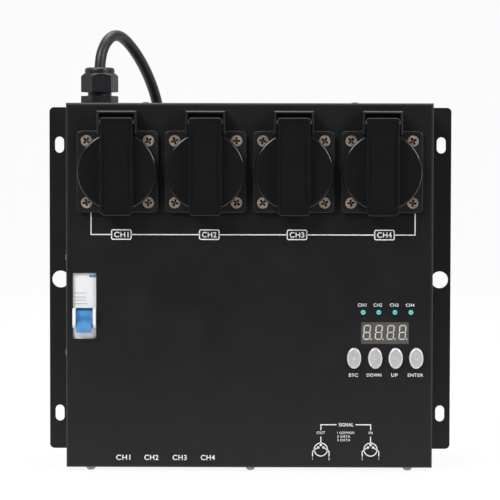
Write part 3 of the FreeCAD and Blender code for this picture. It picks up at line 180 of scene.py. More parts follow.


# A finish's roughness, the grain of its surface in millimetres, how far that grain stands up (relief, in
# millimetres), how much the colour (mottle) and the gloss (gloss_shift) wander, the patch in millimetres
# over which they wander, a stretch of the grain along each axis, a colour painted on faces that turn away
# from the front (painted light: a painted highlight on the buttons' rims, painted shade in the outlet
# screws' recesses), and sockets of the shader itself.
FINISHES = {
    # Polyester powder coat on steel: a tight orange peel that breaks up every highlight.
    "powder_coated_steel": dict(
        roughness=0.47, grain=0.9, relief=0.035, mottle=0.05, gloss_shift=0.06, patch=24.0,
        shader={"IOR": 1.5, "Specular IOR Level": 0.38}),
    # Zinc plate on rolled steel: cool metal with cloudy crystal patches.
    "zinc_plated_steel": dict(
        roughness=0.38, grain=1.6, relief=0.004, mottle=0.1, gloss_shift=0.12, patch=9.0,
        shader={"Metallic": 1.0}),
    # Dull nickel on stamped screw heads: warm metal, scuffed by the driver.
    "nickel_plated_screw": dict(
        roughness=0.55, grain=0.35, relief=0.012, mottle=0.16, gloss_shift=0.14, patch=2.2,
        shader={"Metallic": 1.0}),
    # The same plating on countersunk heads, with painted shade in the cross where faces turn from the front.
    "shade_painted_nickel_screw": dict(
        roughness=0.52, grain=0.35, relief=0.012, mottle=0.16, gloss_shift=0.12, patch=2.2, painted_rim_light="#16120F",
        shader={"Metallic": 1.0}),
    # Black oxide on steel: dark oiled metal, worn a little on the head's crown.
    "blackened_steel": dict(
        roughness=0.4, grain=0.4, relief=0.008, mottle=0.12, gloss_shift=0.1, patch=2.5,
        shader={"Metallic": 0.6}),
    # Nickel on turned brass: fine rings left by the lathe.
    "turned_brass": dict(
        roughness=0.26, grain=0.3, relief=0.003, mottle=0.06, gloss_shift=0.08, patch=4.0, stretch=(1, 6, 1),
        shader={"Metallic": 1.0}),
    # Glass-filled polyamide from a spark-eroded mould: satin with a fine even pit.
    "moulded_polyamide": dict(
        roughness=0.42, grain=0.5, relief=0.012, mottle=0.07, gloss_shift=0.07, patch=8.0,
        shader={"IOR": 1.53}),
    # ABS from a polished mould: nearly a mirror, with faint waves where the plastic shrank.
    "glossy_abs": dict(
        roughness=0.12, grain=9.0, relief=0.16, mottle=0.05, gloss_shift=0.05, patch=14.0,
        shader={"IOR": 1.52}),
    # White polyamide from a fine mould: even satin.
    "breaker_polyamide": dict(
        roughness=0.38, grain=0.6, relief=0.006, mottle=0.02, gloss_shift=0.05, patch=7.0,
        shader={"IOR": 1.53}),
    # Blue polyamide, polished by fingers.
    "toggle_polyamide": dict(
        roughness=0.3, grain=0.7, relief=0.006, mottle=0.05, gloss_shift=0.09, patch=4.0,
        shader={"IOR": 1.53}),
    # Silver paint on ABS: fine metal flake under a soft gloss, with a white painted highlight over the rim.
    "painted_abs": dict(
        roughness=0.36, grain=0.18, relief=0.002, mottle=0.05, gloss_shift=0.06, patch=3.0, painted_rim_light="#FFFFFF",
        shader={"Metallic": 0.35, "Coat Weight": 0.35, "Coat Roughness": 0.2}),
    # Tinted cast epoxy lens: light gathers in its body, helped by a faint painted glow (emission), and
    # leaves a darker middle.
    "led_epoxy": dict(
        roughness=0.16, grain=0.6, relief=0.002, mottle=0.08, gloss_shift=0.03, patch=1.2,
        shader={
            "IOR": 1.55, "Subsurface Weight": 0.6, "Subsurface Scale": 0.0006, "Emission Strength": 0.12}),
    # The chip and its cup, seen through the lens as a darker middle.
    "led_chip": dict(
        roughness=0.25, grain=0.3, relief=0.002, mottle=0.1, gloss_shift=0.04, patch=0.6,
        shader={"IOR": 1.55}),
    # Potted epoxy face of the digit block, matt from its mould.
    "display_epoxy": dict(
        roughness=0.44, grain=0.4, relief=0.006, mottle=0.05, gloss_shift=0.05, patch=5.0,
        shader={"IOR": 1.54}),
    # Milky epoxy that fills each segment.
    "diffused_segment": dict(
        roughness=0.4, grain=0.3, relief=0.004, mottle=0.06, gloss_shift=0.04, patch=1.4,
        shader={"IOR": 1.54, "Subsurface Weight": 0.2, "Subsurface Scale": 0.0003}),
    # Screen-printed ink: flat and dense, with the mesh's slight unevenness.
    "screen_ink": dict(
        roughness=0.55, grain=0.25, relief=0.004, mottle=0.03, gloss_shift=0.05, patch=2.0,
        shader={"IOR": 1.5}),
    # Pad-printed ink: thin and flat, patchy at its edges.
    "label_ink": dict(
        roughness=0.5, grain=0.25, relief=0.002, mottle=0.08, gloss_shift=0.05, patch=1.0,
        shader={"IOR": 1.5}),
    # A printed band of solid colour.
    "label_band": dict(
        roughness=0.45, grain=0.25, relief=0.002, mottle=0.05, gloss_shift=0.05, patch=1.5,
        shader={"IOR": 1.5}),
    # Black epoxy moulded round silicon: matt with a faint sparkle of filler.
    "epoxy_case": dict(
        roughness=0.5, grain=0.25, relief=0.008, mottle=0.08, gloss_shift=0.06, patch=3.0,
        shader={"IOR": 1.55}),
    # Polyester film capacitor in its moulded box.
    "film_capacitor": dict(
        roughness=0.35, grain=0.5, relief=0.006, mottle=0.04, gloss_shift=0.06, patch=5.0,
        shader={"IOR": 1.54}),
    # Pressed phenolic: hard, a little glossy, with a fine flow mark.
    "phenolic": dict(
        roughness=0.33, grain=0.6, relief=0.006, mottle=0.08, gloss_shift=0.08, patch=5.0,
        shader={"IOR": 1.6}),
    # Drawn glass tube of a fuse.
    "fuse_glass": dict(
        roughness=0.03, grain=3.0, relief=0.004, mottle=0.01, gloss_shift=0.01, patch=6.0,
        shader={"IOR": 1.52, "Transmission Weight": 0.9}),
    # Satin nickel on die-cast zinc: fine blasted grain.
    "die_cast_zinc": dict(
        roughness=0.4, grain=0.4, relief=0.01, mottle=0.07, gloss_shift=0.08, patch=5.0,
        shader={"Metallic": 1.0}),
    # Extruded aluminium: draw lines along its length.
    "extruded_aluminium": dict(
        roughness=0.33, grain=0.5, relief=0.008, mottle=0.08, gloss_shift=0.12, patch=10.0,
        stretch=(0.04, 1.0, 1.0), shader={"Metallic": 1.0}),
    # Black polyamide gland: satin moulding, scuffed along its corners.
    "gland_polyamide": dict(
        roughness=0.4, grain=0.5, relief=0.01, mottle=0.1, gloss_shift=0.09, patch=6.0,
        shader={"IOR": 1.53}),
    # Extruded PVC sheath: soft sheen, faint flow lines.
    "cord_pvc": dict(
        roughness=0.43, grain=1.1, relief=0.02, mottle=0.07, gloss_shift=0.07, patch=12.0,
        shader={"IOR": 1.53}),
    # Plug moulded in soft PVC.
    "plug_pvc": dict(
        roughness=0.46, grain=0.6, relief=0.014, mottle=0.07, gloss_shift=0.07, patch=8.0,
        shader={"IOR": 1.53}),
}


# How far a surface looks forward where the colour painted on turned faces (painted highlight, painted shade)
# begins and where it is full: -1 is straight forward.
PAINTED_RIM_BEGINS, PAINTED_RIM_FULL = -0.97, -0.75


def grained(name, roughness, grain, relief, mottle, gloss_shift, patch, shader, stretch=(1, 1, 1), painted_rim_light=None):
    """A material whose colour and gloss wander over patches, whose surface has a fine grain, and which can
    paint light or shade on faces turned from the front.
    """
    base = Vector(getattr(bpy.context.scene.dimmer_pack_colours, name))
    material = bpy.data.materials.new(name)
    material.use_nodes = True
    tree = material.node_tree
    tree.nodes.clear()
    place = add_node(tree, "ShaderNodeTexCoord")
    drawn = add_node(tree, "ShaderNodeMapping", {"Vector": place.outputs["Object"], "Scale": stretch})
    fine = add_node(tree, "ShaderNodeTexNoise", {
        "Vector": drawn.outputs["Vector"], "Scale": 1 / (grain * MM), "Detail": 3.0, "Roughness": 0.6})
    broad = add_node(tree, "ShaderNodeTexNoise", {
        "Vector": drawn.outputs["Vector"], "Scale": 1 / (patch * MM), "Detail": 4.0, "Roughness": 0.55})
    tint = add_node(tree, "ShaderNodeValToRGB", {"Fac": broad.outputs[0]}, stops=[
        (0.3, base * (1 - mottle)), (0.7, [min(c, 1.0) for c in base * (1 + mottle)])])
    both = add_node(tree, "ShaderNodeMath", {0: fine.outputs[0], 1: broad.outputs[0]}, operation="ADD")
    gloss = add_node(tree, "ShaderNodeMapRange", {
        "Value": both.outputs[0], "From Min": 0.7, "From Max": 1.3,
        "To Min": max(roughness - gloss_shift, 0.02), "To Max": roughness + gloss_shift})
    bump = add_node(tree, "ShaderNodeBump", {
        "Height": fine.outputs[0], "Strength": 1.0, "Distance": relief * MM})
    sockets = {"Base Color": tint.outputs["Color"], "Roughness": gloss.outputs[0], "Normal": bump.outputs[0]}
    # Faces that turn away from the front take a painted colour in place of light: white on the buttons is a
    # painted highlight, near black on the outlet screws is painted shade.
    if painted_rim_light:
        facing = add_node(tree, "ShaderNodeSeparateXYZ", {0: place.outputs["Normal"]})
        turned = add_node(tree, "ShaderNodeMapRange", {
            "Value": facing.outputs["Y"], "From Min": PAINTED_RIM_BEGINS, "From Max": PAINTED_RIM_FULL})
        paint = add_node(tree, "ShaderNodeMix", {
            0: turned.outputs[0], 6: tint.outputs["Color"], 7: (*linear(painted_rim_light), 1.0)}, data_type="RGBA")
        sockets["Base Color"] = paint.outputs[2]
    # A finish with emission, the status lights, gets a faint painted glow in its own colour.
    if "Emission Strength" in shader:
        sockets["Emission Color"] = (*base, 1.0)
    surface = add_node(tree, "ShaderNodeBsdfPrincipled", {**sockets, **shader})
    add_node(tree, "ShaderNodeOutputMaterial", {"Surface": surface.outputs[0]})
    return material


def circuit_board():
    """Solder mask on glass-fibre laminate: copper tracks show as paler lines under the green lacquer."""
    base = Vector(bpy.context.scene.dimmer_pack_colours.solder_mask)
    track_pitch, track_width, copper_height = 2.54 * MM, 0.4 * MM, 0.035 * MM
    via_pitch, pad_share = 5.08 * MM, 0.13
    material = bpy.data.materials.new("solder_mask")
    material.use_nodes = True
    tree = material.node_tree
    tree.nodes.clear()
    place = add_node(tree, "ShaderNodeTexCoord")
    upright = add_node(tree, "ShaderNodeMapping", {
        "Vector": place.outputs["Object"], "Rotation": (math.radians(90), 0, 0)})
    tracks = add_node(tree, "ShaderNodeTexBrick", {
        "Vector": upright.outputs["Vector"], "Scale": 1.0, "Mortar Size": track_width,
        "Brick Width": 7 * track_pitch, "Row Height": track_pitch,
        "Color1": (0, 0, 0, 1), "Color2": (0.2, 0.2, 0.2, 1), "Mortar": (1, 1, 1, 1)})
    vias = add_node(tree, "ShaderNodeTexVoronoi", {
        "Vector": upright.outputs["Vector"], "Scale": 1 / via_pitch, "Randomness": 0.35})
    pads = add_node(tree, "ShaderNodeMath", {
        0: vias.outputs["Distance"], 1: pad_share}, operation="LESS_THAN")
    copper = add_node(tree, "ShaderNodeMath", {
        0: tracks.outputs["Fac"], 1: pads.outputs[0]}, operation="MAXIMUM")
    tint = add_node(tree, "ShaderNodeValToRGB", {"Fac": copper.outputs[0]}, stops=[
        (0.0, base), (1.0, base * 1.9)])
    gloss = add_node(tree, "ShaderNodeMapRange", {
        "Value": copper.outputs[0], "To Min": 0.34, "To Max": 0.24})
    bump = add_node(tree, "ShaderNodeBump", {
        "Height": copper.outputs[0], "Strength": 1.0, "Distance": copper_height})
    surface = add_node(tree, "ShaderNodeBsdfPrincipled", {
        "Base Color": tint.outputs["Color"], "Roughness": gloss.outputs[0], "Normal": bump.outputs[0],
        "IOR": 1.55, "Coat Weight": 0.3})
    add_node(tree, "ShaderNodeOutputMaterial", {"Surface": surface.outputs[0]})
    return material


def wound_ring():
    """Enamelled copper wire wound round a ferrite ring: close turns that cross its section."""
    base = Vector(bpy.context.scene.dimmer_pack_colours.wound_ferrite)
    wire = 1.1 * MM
    material = bpy.data.materials.new("wound_ferrite")
    material.use_nodes = True
    tree = material.node_tree
    tree.nodes.clear()
    place = add_node(tree, "ShaderNodeTexCoord")
    turns = add_node(tree, "ShaderNodeTexWave", {
        "Vector": place.outputs["Object"], "Scale": 1 / (20 * wire), "Distortion": 0.6, "Detail": 1.0},
        wave_type="BANDS", bands_direction="Z")
    # The grooves between turns, where the bump is low, are painted darker: painted shade between the wires.
    tint = add_node(tree, "ShaderNodeValToRGB", {"Fac": turns.outputs["Fac"]}, stops=[
        (0.1, base * 0.35), (0.8, base)])
    bump = add_node(tree, "ShaderNodeBump", {
        "Height": turns.outputs["Fac"], "Strength": 1.0, "Distance": wire / 3})
    surface = add_node(tree, "ShaderNodeBsdfPrincipled", {
        "Base Color": tint.outputs["Color"], "Roughness": 0.28, "Normal": bump.outputs[0], "Metallic": 1.0,
        "Coat Weight": 0.6})
    add_node(tree, "ShaderNodeOutputMaterial", {"Surface": surface.outputs[0]})
    return material


def finish(name):
    """The material of a finish, made the first time that it is asked for."""
    if name in bpy.data.materials:
        return bpy.data.materials[name]
    special = {"solder_mask": circuit_board, "wound_ferrite": wound_ring}
    if name in special:
        return special[name]()
    return grained(name, **FINISHES[name])


def dress(name, *nodes):
    """Gives CAD pieces their finish."""
    for node in nodes:
        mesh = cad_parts[node].data
        mesh.materials.clear()
        mesh.materials.append(finish(name))


# Flat print

DOT_STEPS, POINT_STEPS = 20, 16


def offset_path(points, distance, closed):
    """A line beside a path, on its left for a positive distance, with mitred corners."""
    count = len(points)
    beside = []
    for k, point in enumerate(points):
        before = points[k - 1] if closed or k > 0 else None
        after = points[(k + 1) % count] if closed or k < count - 1 else None
        into = (point - before).normalized() if before is not None else (after - point).normalized()
        out = (after - point).normalized() if after is not None else into
        normal = Vector((-into.y - out.y, into.x + out.x)).normalized()
        beside.append(point + normal * distance / max(normal.dot(Vector((-into.y, into.x))), 0.3))
    return beside


def stroke(points, width, closed=False):
    """The outlines that fill a line of one width along a path."""
    points = [Vector(p) for p in points]
    left, right = offset_path(points, width / 2, closed), offset_path(points, -width / 2, closed)
    return [left, right] if closed else [left + right[::-1]]


def arc(x, z, radius, start, end, steps=40):
    """Points along an arc, angles in degrees."""
    angles = [math.radians(start + (end - start) * k / steps) for k in range(steps + 1)]
    return [(x + radius * math.cos(a), z + radius * math.sin(a)) for a in angles]


def ring(x, z, radius, steps=48):
    """Points round a circle, closed by its first."""
    return arc(x, z, radius, 0, 360, steps)[:-1]


def rounded_frame(x, z, width, height, radius):
    """Points round a rectangle with rounded corners."""
    corners = [(1, 1, 0), (-1, 1, 90), (-1, -1, 180), (1, -1, 270)]
    inner_x, inner_z = width / 2 - radius, height / 2 - radius
    points = []
    for sx, sz, start in corners:
        points += arc(x + sx * inner_x, z + sz * inner_z, radius, start, start + 90, 6)
    return points


def filled(outlines):
    """A flat mesh that fills outlines; one inside another is a hole."""
    curve = bpy.data.curves.new("outline", "CURVE")
    curve.dimensions = "2D"
    curve.fill_mode = "BOTH"
    for outline in outlines:
        spline = curve.splines.new("POLY")
        spline.points.add(len(outline) - 1)
        for point, (x, z) in zip(spline.points, outline):
            point.co = (x, z, 0, 1)
        spline.use_cyclic_u = True
    return flattened(curve)


def lettering(text, x, z, height, width=None, weight=0.02):
    """A flat mesh of letters, centred on a point, of a given height and, if stated, a given width."""
    curve = bpy.data.curves.new("letters", "FONT")
    curve.body = text
    curve.offset = weight
    curve.space_character = 1.1
    mesh = flattened(curve)
    xs, ys = ([v.co[k] for v in mesh.vertices] for k in (0, 1))
    tall = height / (max(ys) - min(ys))
    wide = width / (max(xs) - min(xs)) if width else tall
    middle = Vector(((max(xs) + min(xs)) / 2, (max(ys) + min(ys)) / 2, 0))
    scaled = Matrix.Diagonal((wide, tall, 1, 1)) @ Matrix.Translation(-middle)
    mesh.transform(Matrix.Translation((x, z, 0)) @ scaled)
    return mesh


def flattened(curve):
    """The mesh of a flat curve or of letters."""
    holder = bpy.data.objects.new(curve.name, curve)
    bpy.context.scene.collection.objects.link(holder)
    bpy.context.view_layer.update()
    mesh = bpy.data.meshes.new_from_object(holder.evaluated_get(bpy.context.evaluated_depsgraph_get()))
    bpy.data.objects.remove(holder)
    return mesh


def printed(name, meshes, y, finish_name, body="case"):
    """One layer of print: flat meshes stood upright on a face that looks forward, as one thin piece."""
    layer = bmesh.new()
    for mesh in meshes:
        layer.from_mesh(mesh)
    faces = layer.faces[:]
    raised = bmesh.ops.extrude_face_region(layer, geom=faces)["geom"]
    top = [v for v in raised if isinstance(v, bmesh.types.BMVert)]
    bmesh.ops.translate(layer, vec=(0, 0, PRINT_HEIGHT), verts=top)
    bmesh.ops.recalc_face_normals(layer, faces=layer.faces)
    upright = Matrix.Translation((0, y, 0)) @ Matrix.Rotation(math.radians(90), 4, "X")
    layer.transform(upright)
    mesh = bpy.data.meshes.new(name)
    layer.to_mesh(mesh)
    layer.free()
    mesh.materials.append(finish(finish_name))
    piece = bpy.data.objects.new(name, mesh)
    bpy.context.scene.collection.objects.link(piece)
    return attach(piece, body)


# Mains lead

CORD_START = Vector((-95.0, 7.0, 243.5)) * MM
COIL_CENTRE, COIL_RADIUS, COIL_PITCH, COIL_STEP = Vector((5.0, 117.0)) * MM, 46.0 * MM, 7.6 * MM, 7.5 * MM
COIL_TURN_BACK, COIL_CLIMB, COIL_END, COIL_STEPS = 2.25, 0.5, 4.583, 24
SURFACE_GAP, PLUG_GAP = 0.1 * MM, 0.15 * MM
PLUG_HEADING, PLUG_TILT, PLUG_FACE_R, PLUG_RIM, PLUG_TAIL = 207.0, 6.0, 18.8 * MM, 46.0 * MM, 21.0 * MM

# The lead's way from the gland to its coil, in millimetres: an arch over the pack's rear edge, a hang
# behind the back plate, and a turn along the surface that the pack stands on.
CORD_ROUTE = (
    (-95.0, 7.0, 255.3),
    (-92.0, 12.2, 266.0),
    (-87.0, 20.9, 271.9),
    (-81.4, 30.6, 270.6),
    (-73.5, 44.2, 260.6),
    (-66.0, 57.2, 245.5),
    (-60.8, 66.3, 228.0),
    (-58.2, 70.7, 204.0),
    (-58.0, 71.2, 160.0),
    (-54.0, 71.8, 110.0),
    (-48.0, 71.0, 62.0),
    (-45.0, 71.2, 33.0),
    (-34.3, 71.0, 14.3),
    (-15.8, 71.0, 3.6),
)


def coil_point(turn, floor_z):
    """The coil's centreline after a number of turns: in along the surface, up, and out above."""
    inward, outward = min(turn, COIL_TURN_BACK), max(turn - COIL_TURN_BACK, 0.0)
    radius = COIL_RADIUS - COIL_PITCH * (inward - outward)
    angle = 2 * math.pi * turn - math.pi / 2
    climb = min(max((turn - COIL_TURN_BACK) / COIL_CLIMB + 0.5, 0.0), 1.0)
    height = floor_z + COIL_STEP * (climb - math.sin(2 * math.pi * climb) / (2 * math.pi))
    x, y = COIL_CENTRE.x + radius * math.cos(angle), COIL_CENTRE.y + radius * math.sin(angle)
    return Vector((x, y, height))


def lead_points(diameter):
    """Every point of the lead's centreline, from inside the gland to inside the plug's sleeve."""
    floor_z = diameter / 2 + SURFACE_GAP
    points = [CORD_START] + [Vector(p) * MM for p in CORD_ROUTE]
    steps = int(COIL_END * COIL_STEPS)
    points += [coil_point(k / COIL_STEPS, floor_z) for k in range(steps + 1)]
    last = coil_point(COIL_END, floor_z)
    onward = (last - coil_point(COIL_END - 0.001, floor_z)).normalized()
    heading, tilt = math.radians(PLUG_HEADING), math.radians(PLUG_TILT)
    axis = Vector((math.cos(tilt) * math.cos(heading), math.cos(tilt) * math.sin(heading), math.sin(tilt)))
    entry = last + onward * PLUG_TAIL
    entry.z = PLUG_FACE_R * math.cos(tilt) - PLUG_RIM * math.sin(tilt) + PLUG_GAP
    return points + [last, entry - axis * diameter * 1.3, entry - axis * diameter * 0.5, entry]


# Operators

class DIMMER_PACK_OT_camera(bpy.types.Operator):
    """Places the camera where the pack is seen from the front, a little from above"""

    bl_idname = "dimmer_pack.camera"
    bl_label = "Camera"

    POSITION = Vector((7.1, -1388.7, 199.0)) * MM
    AZIMUTH, ELEVATION, ROLL = 0.2865, 2.615, 0.108
    LENS, SENSOR = 158.8, 36.0

    def execute(self, context):
        azimuth, elevation = math.radians(self.AZIMUTH), math.radians(self.ELEVATION)
        back = Vector((math.sin(azimuth) * math.cos(elevation), -math.cos(azimuth) * math.cos(elevation),
                       math.sin(elevation)))
        right = Vector((0, 0, 1)).cross(back).normalized()
        up = back.cross(right)
        turn = Matrix((right, up, back)).transposed() @ Matrix.Rotation(math.radians(self.ROLL), 3, "Z")
        data = bpy.data.cameras.new("camera")
        data.lens, data.sensor_fit = self.LENS, "AUTO"
        data.sensor_width, data.sensor_height = self.SENSOR, self.SENSOR
        data.clip_start, data.clip_end = 0.05, 50.0
        camera = bpy.data.objects.new("camera", data)
        camera.matrix_world = Matrix.Translation(self.POSITION) @ turn.to_4x4()
        context.scene.collection.objects.link(camera)
        context.scene.camera = camera
        return {"FINISHED"}


class DIMMER_PACK_OT_mains_lead(bpy.types.Operator):
    """Makes the mains lead as one cord, and finishes its gland and plug"""

    bl_idname = "dimmer_pack.mains_lead"
    bl_label = "Mains lead"

    def execute(self, context):
        sizes = context.scene.dimmer_pack_sizes
        points = lead_points(sizes.cord_diameter)
        curve = bpy.data.curves.new("mains_lead", "CURVE")
        curve.dimensions = "3D"
        spline = curve.splines.new("NURBS")
        spline.points.add(len(points) - 1)
        for point, place in zip(spline.points, points):
            point.co = (*place, 1.0)
        spline.order_u = 3
        spline.use_endpoint_u = True
        spline.resolution_u = 6
        curve.bevel_depth = sizes.cord_diameter / 2
        curve.bevel_resolution = 6
        curve.use_fill_caps = True
        curve.materials.append(finish("cord_pvc"))
        lead = bpy.data.objects.new("mains_lead", curve)
        context.scene.collection.objects.link(lead)
        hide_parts("cord_run", "cord_coil")
        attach(lead, "case")
        dress("plug_pvc", "plug_body")
        dress("turned_brass", "plug_contacts")
        dress("gland_polyamide", "gland_body", "gland_nut", "gland_locknut")
        return {"FINISHED"}


class DIMMER_PACK_OT_case(bpy.types.Operator):
    """Finishes the hood, the back plate and their screws"""

    bl_idname = "dimmer_pack.case"
    bl_label = "Case"

    def execute(self, context):
        dress("powder_coated_steel", "hood", "base_plate")
        dress("nickel_plated_screw", "case_screws")
        dress("blackened_steel", "top_screws")
        return {"FINISHED"}


class DIMMER_PACK_OT_outlets(bpy.types.Operator):
    """Finishes the four outlets and prints their bracket and channel names"""

    bl_idname = "dimmer_pack.outlets"
    bl_label = "Outlets"

    LINE_Z, BRACKET_X, LETTER_WIDTH = 146.45, (-97.5, 101.8), 9.0
    BOX_X, BOX_CORNER, LETTER_WEIGHT, LINE_START = (-78.85, -24.75, 29.2, 83.0), 0.9, 0.025, 0.4

    def execute(self, context):
        sizes = context.scene.dimmer_pack_sizes
        dress("moulded_polyamide", "socket_inserts", *("socket_housing_" + n for n in OUTLETS))
        dress("glossy_abs", *("socket_lid_" + n for n in OUTLETS))
        dress("zinc_plated_steel", "lid_pins", "lid_springs")
        dress("turned_brass", "socket_contacts")
        # The outlet screws' finish paints shade into the cross of each head.
        dress("shade_painted_nickel_screw", "socket_screws")
        z = self.LINE_Z * MM
        top = plane_of("socket_housing_1", 2, 0) + self.LINE_START * MM
        half = sizes.channel_box_width / 2
        ends = [x * MM for x in self.BRACKET_X]
        boxes = [x * MM for x in self.BOX_X]
        meshes = [filled(stroke([(ends[0], top), (ends[0], z), (boxes[0] - half, z)], sizes.line))]
        meshes += [filled(stroke([(a + half, z), (b - half, z)], sizes.line))
                   for a, b in zip(boxes, boxes[1:])]
        meshes.append(filled(stroke([(boxes[-1] + half, z), (ends[1], z), (ends[1], top)], sizes.line)))
        for number, x in enumerate(boxes, 1):
            frame_line = rounded_frame(x, z, 2 * half, sizes.channel_box_height, self.BOX_CORNER * MM)
            meshes.append(filled(stroke(frame_line, sizes.line, closed=True)))
            meshes.append(lettering("CH%d" % number, x, z, sizes.channel_letters, self.LETTER_WIDTH * MM,
                                    self.LETTER_WEIGHT))
        printed("outlet_print", meshes, FRONT_Y, "screen_ink")
        return {"FINISHED"}


class DIMMER_PACK_OT_breaker(bpy.types.Operator):
    """Finishes the breaker, its lever and its mounting, and prints its plain marks"""

    bl_idname = "dimmer_pack.breaker"
    bl_label = "Breaker"

    BAND, MARK_X = ((-98.8, 119.9), (-94.6, 121.3)), -108.2
    RULES, RULE_WIDTH = ((110.2, 7.8), (107.7, 7.6), (105.9, 7.6), (103.6, 8.4)), 0.35
    FACE_DEPTH = 1.5

    def execute(self, context):
        dress("breaker_polyamide", "breaker_body")
        dress("toggle_polyamide", "breaker_toggle")
        dress("zinc_plated_steel", "din_rail", "breaker_bracket")
        face_y = FRONT_Y + self.FACE_DEPTH * MM
        (x0, z0), (x1, z1) = self.BAND
        band = [(x0 * MM, z0 * MM), (x1 * MM, z0 * MM), (x1 * MM, z1 * MM), (x0 * MM, z1 * MM)]
        printed("breaker_band", [filled([band])], face_y, "label_band")
        left = self.MARK_X
        rules = [[(left * MM, z * MM), ((left + length) * MM, z * MM)] for z, length in self.RULES]
        marks = [filled(stroke(rule, self.RULE_WIDTH * MM)) for rule in rules]
        printed("breaker_marks", marks, face_y, "label_ink")
        return {"FINISHED"}


class DIMMER_PACK_OT_control_panel(bpy.types.Operator):
    """Finishes the display, lights and buttons, sets the digits' segments and prints the names"""

    bl_idname = "dimmer_pack.control_panel"
    bl_label = "Control panel"

    LIGHT_LETTERS_X, LIGHT_LETTERS_Z, LIGHT_LETTERS_WIDTH = (69.4, 79.1, 89.2, 99.0), 103.25, 5.3
    BUTTON_LETTERS_Z = 60.0
    BUTTON_LETTERS = (("ESC", 64.25, 5.6), ("DOWN", 76.95, 9.0), ("UP", 89.55, 4.0), ("ENTER", 102.5, 9.6))
    LETTER_WEIGHT = 0.014
    # The last two size and set back the grey disc at each button's centre, painted shade for its dimple.
    LIGHT_X, CHIP_RADIUS, GATE_RADIUS, GATE_DEPTH = (70.1, 79.7, 89.7, 99.5), 0.4, 0.42, 0.3
    DIGIT_X, DIGIT_Z, DIGIT_W, SLANT = (-11.1, -3.8, 3.5, 10.8), 0.4, 4.5, 0.075
    SEGMENT_GAP, POINT_RADIUS, POINT_X = 0.18, 0.45, 0.75

    def segments(self, x, z, sizes):
        """The seven segments of one digit and its point, as outlines."""
        half_h, half_w = sizes.digit / 2 - sizes.segment / 2, self.DIGIT_W * MM / 2
        gap = self.SEGMENT_GAP * MM
        left, right = -half_w + sizes.segment / 2, half_w - sizes.segment / 2
        lines = [((left, level), (right, level)) for level in (half_h, 0, -half_h)]
        lines += [((side, a), (side, b)) for side in (left, right) for a, b in ((half_h, 0), (0, -half_h))]
        outlines = []
        for start, end in lines:
            a, b = Vector(start), Vector(end)
            ahead = (b - a).normalized()
            across = Vector((-ahead.y, ahead.x)) * sizes.segment / 2
            a, b = a + ahead * gap, b - ahead * gap
            tip = ahead * sizes.segment / 2
            outlines.append([a, a + tip + across, b - tip + across, b, b - tip - across, a + tip - across])
        point = ring(half_w + self.POINT_X * MM, -half_h, self.POINT_RADIUS * MM, POINT_STEPS)
        outlines.append([Vector(p) for p in point])
        return [[(x + p.x + self.SLANT * p.y, z + p.y) for p in outline] for outline in outlines]

    def execute(self, context):
        sizes = context.scene.dimmer_pack_sizes
        dress("display_epoxy", "display_module")
        dress("led_epoxy", "status_leds")
        dress("painted_abs", *("button_" + name for name in BUTTONS))
        dress("epoxy_case", "tact_switches")
        dress("solder_mask", "control_board")
        middle = centre_of("display_module")
        digits = []
        for dx in self.DIGIT_X:
            outlines = self.segments(middle.x + dx * MM, middle.z + self.DIGIT_Z * MM, sizes)
            digits += [filled([outline]) for outline in outlines]
        light_z = centre_of("status_leds").z
        spots = [filled([ring(x * MM, light_z, self.CHIP_RADIUS * MM, DOT_STEPS)]) for x in self.LIGHT_X]
        printed("light_chips", spots, plane_of("status_leds", 1, 0), "led_chip")
        # A grey disc at each button's centre is painted shade for the small dimple there.
        for name in BUTTONS:
            button = "button_" + name
            button_middle = centre_of(button)
            spot = filled([ring(button_middle.x, button_middle.z, self.GATE_RADIUS * MM, DOT_STEPS)])
            mark_y = plane_of(button, 1, 0) + self.GATE_DEPTH * MM
            printed("dimple_shade_" + name, [spot], mark_y, "label_ink", button)
        display_y = plane_of("display_module", 1, 0)
        printed("display_digits", digits, display_y, "diffused_segment")
        words = [("CH%d" % number, x, self.LIGHT_LETTERS_Z, self.LIGHT_LETTERS_WIDTH)
                 for number, x in enumerate(self.LIGHT_LETTERS_X, 1)]
        words += [(text, x, self.BUTTON_LETTERS_Z, width) for text, x, width in self.BUTTON_LETTERS]
        names = [lettering(text, x * MM, z * MM, sizes.panel_letters, width * MM, self.LETTER_WEIGHT)
                 for text, x, z, width in words]
        printed("panel_print", names, FRONT_Y, "screen_ink")
        return {"FINISHED"}


class DIMMER_PACK_OT_power_side(bpy.types.Operator):
    """Finishes what is inside the case"""

    bl_idname = "dimmer_pack.power_side"
    bl_label = "Power side"

    def execute(self, context):
        dress("solder_mask", "power_board")
        dress("zinc_plated_steel", "board_spacers", "small_screws", "transformer")
        dress("extruded_aluminium", "heatsink")
        dress("epoxy_case", "triacs")
        dress("wound_ferrite", "chokes")
        dress("film_capacitor", "capacitors")
        dress("moulded_polyamide", "terminal_block")
        return {"FINISHED"}


class DIMMER_PACK_OT_fuses(bpy.types.Operator):
    """Finishes the fuses and their holders, and prints their channel names"""

    bl_idname = "dimmer_pack.fuses"
    bl_label = "Fuses"

    LETTERS_Z, LETTERS_WIDTH, LETTER_WEIGHT = 8.6, 8.8, 0.022

    def execute(self, context):
        sizes = context.scene.dimmer_pack_sizes
        dress("phenolic", "fuse_holders", *("fuse_cap_" + n for n in OUTLETS))
        dress("fuse_glass", *("fuse_" + n for n in OUTLETS))
        names = [lettering("CH" + n, centre_of("fuse_cap_" + n).x, self.LETTERS_Z * MM, sizes.fuse_letters,
                           self.LETTERS_WIDTH * MM, self.LETTER_WEIGHT) for n in OUTLETS]
        printed("fuse_print", names, FRONT_Y, "screen_ink")
        return {"FINISHED"}


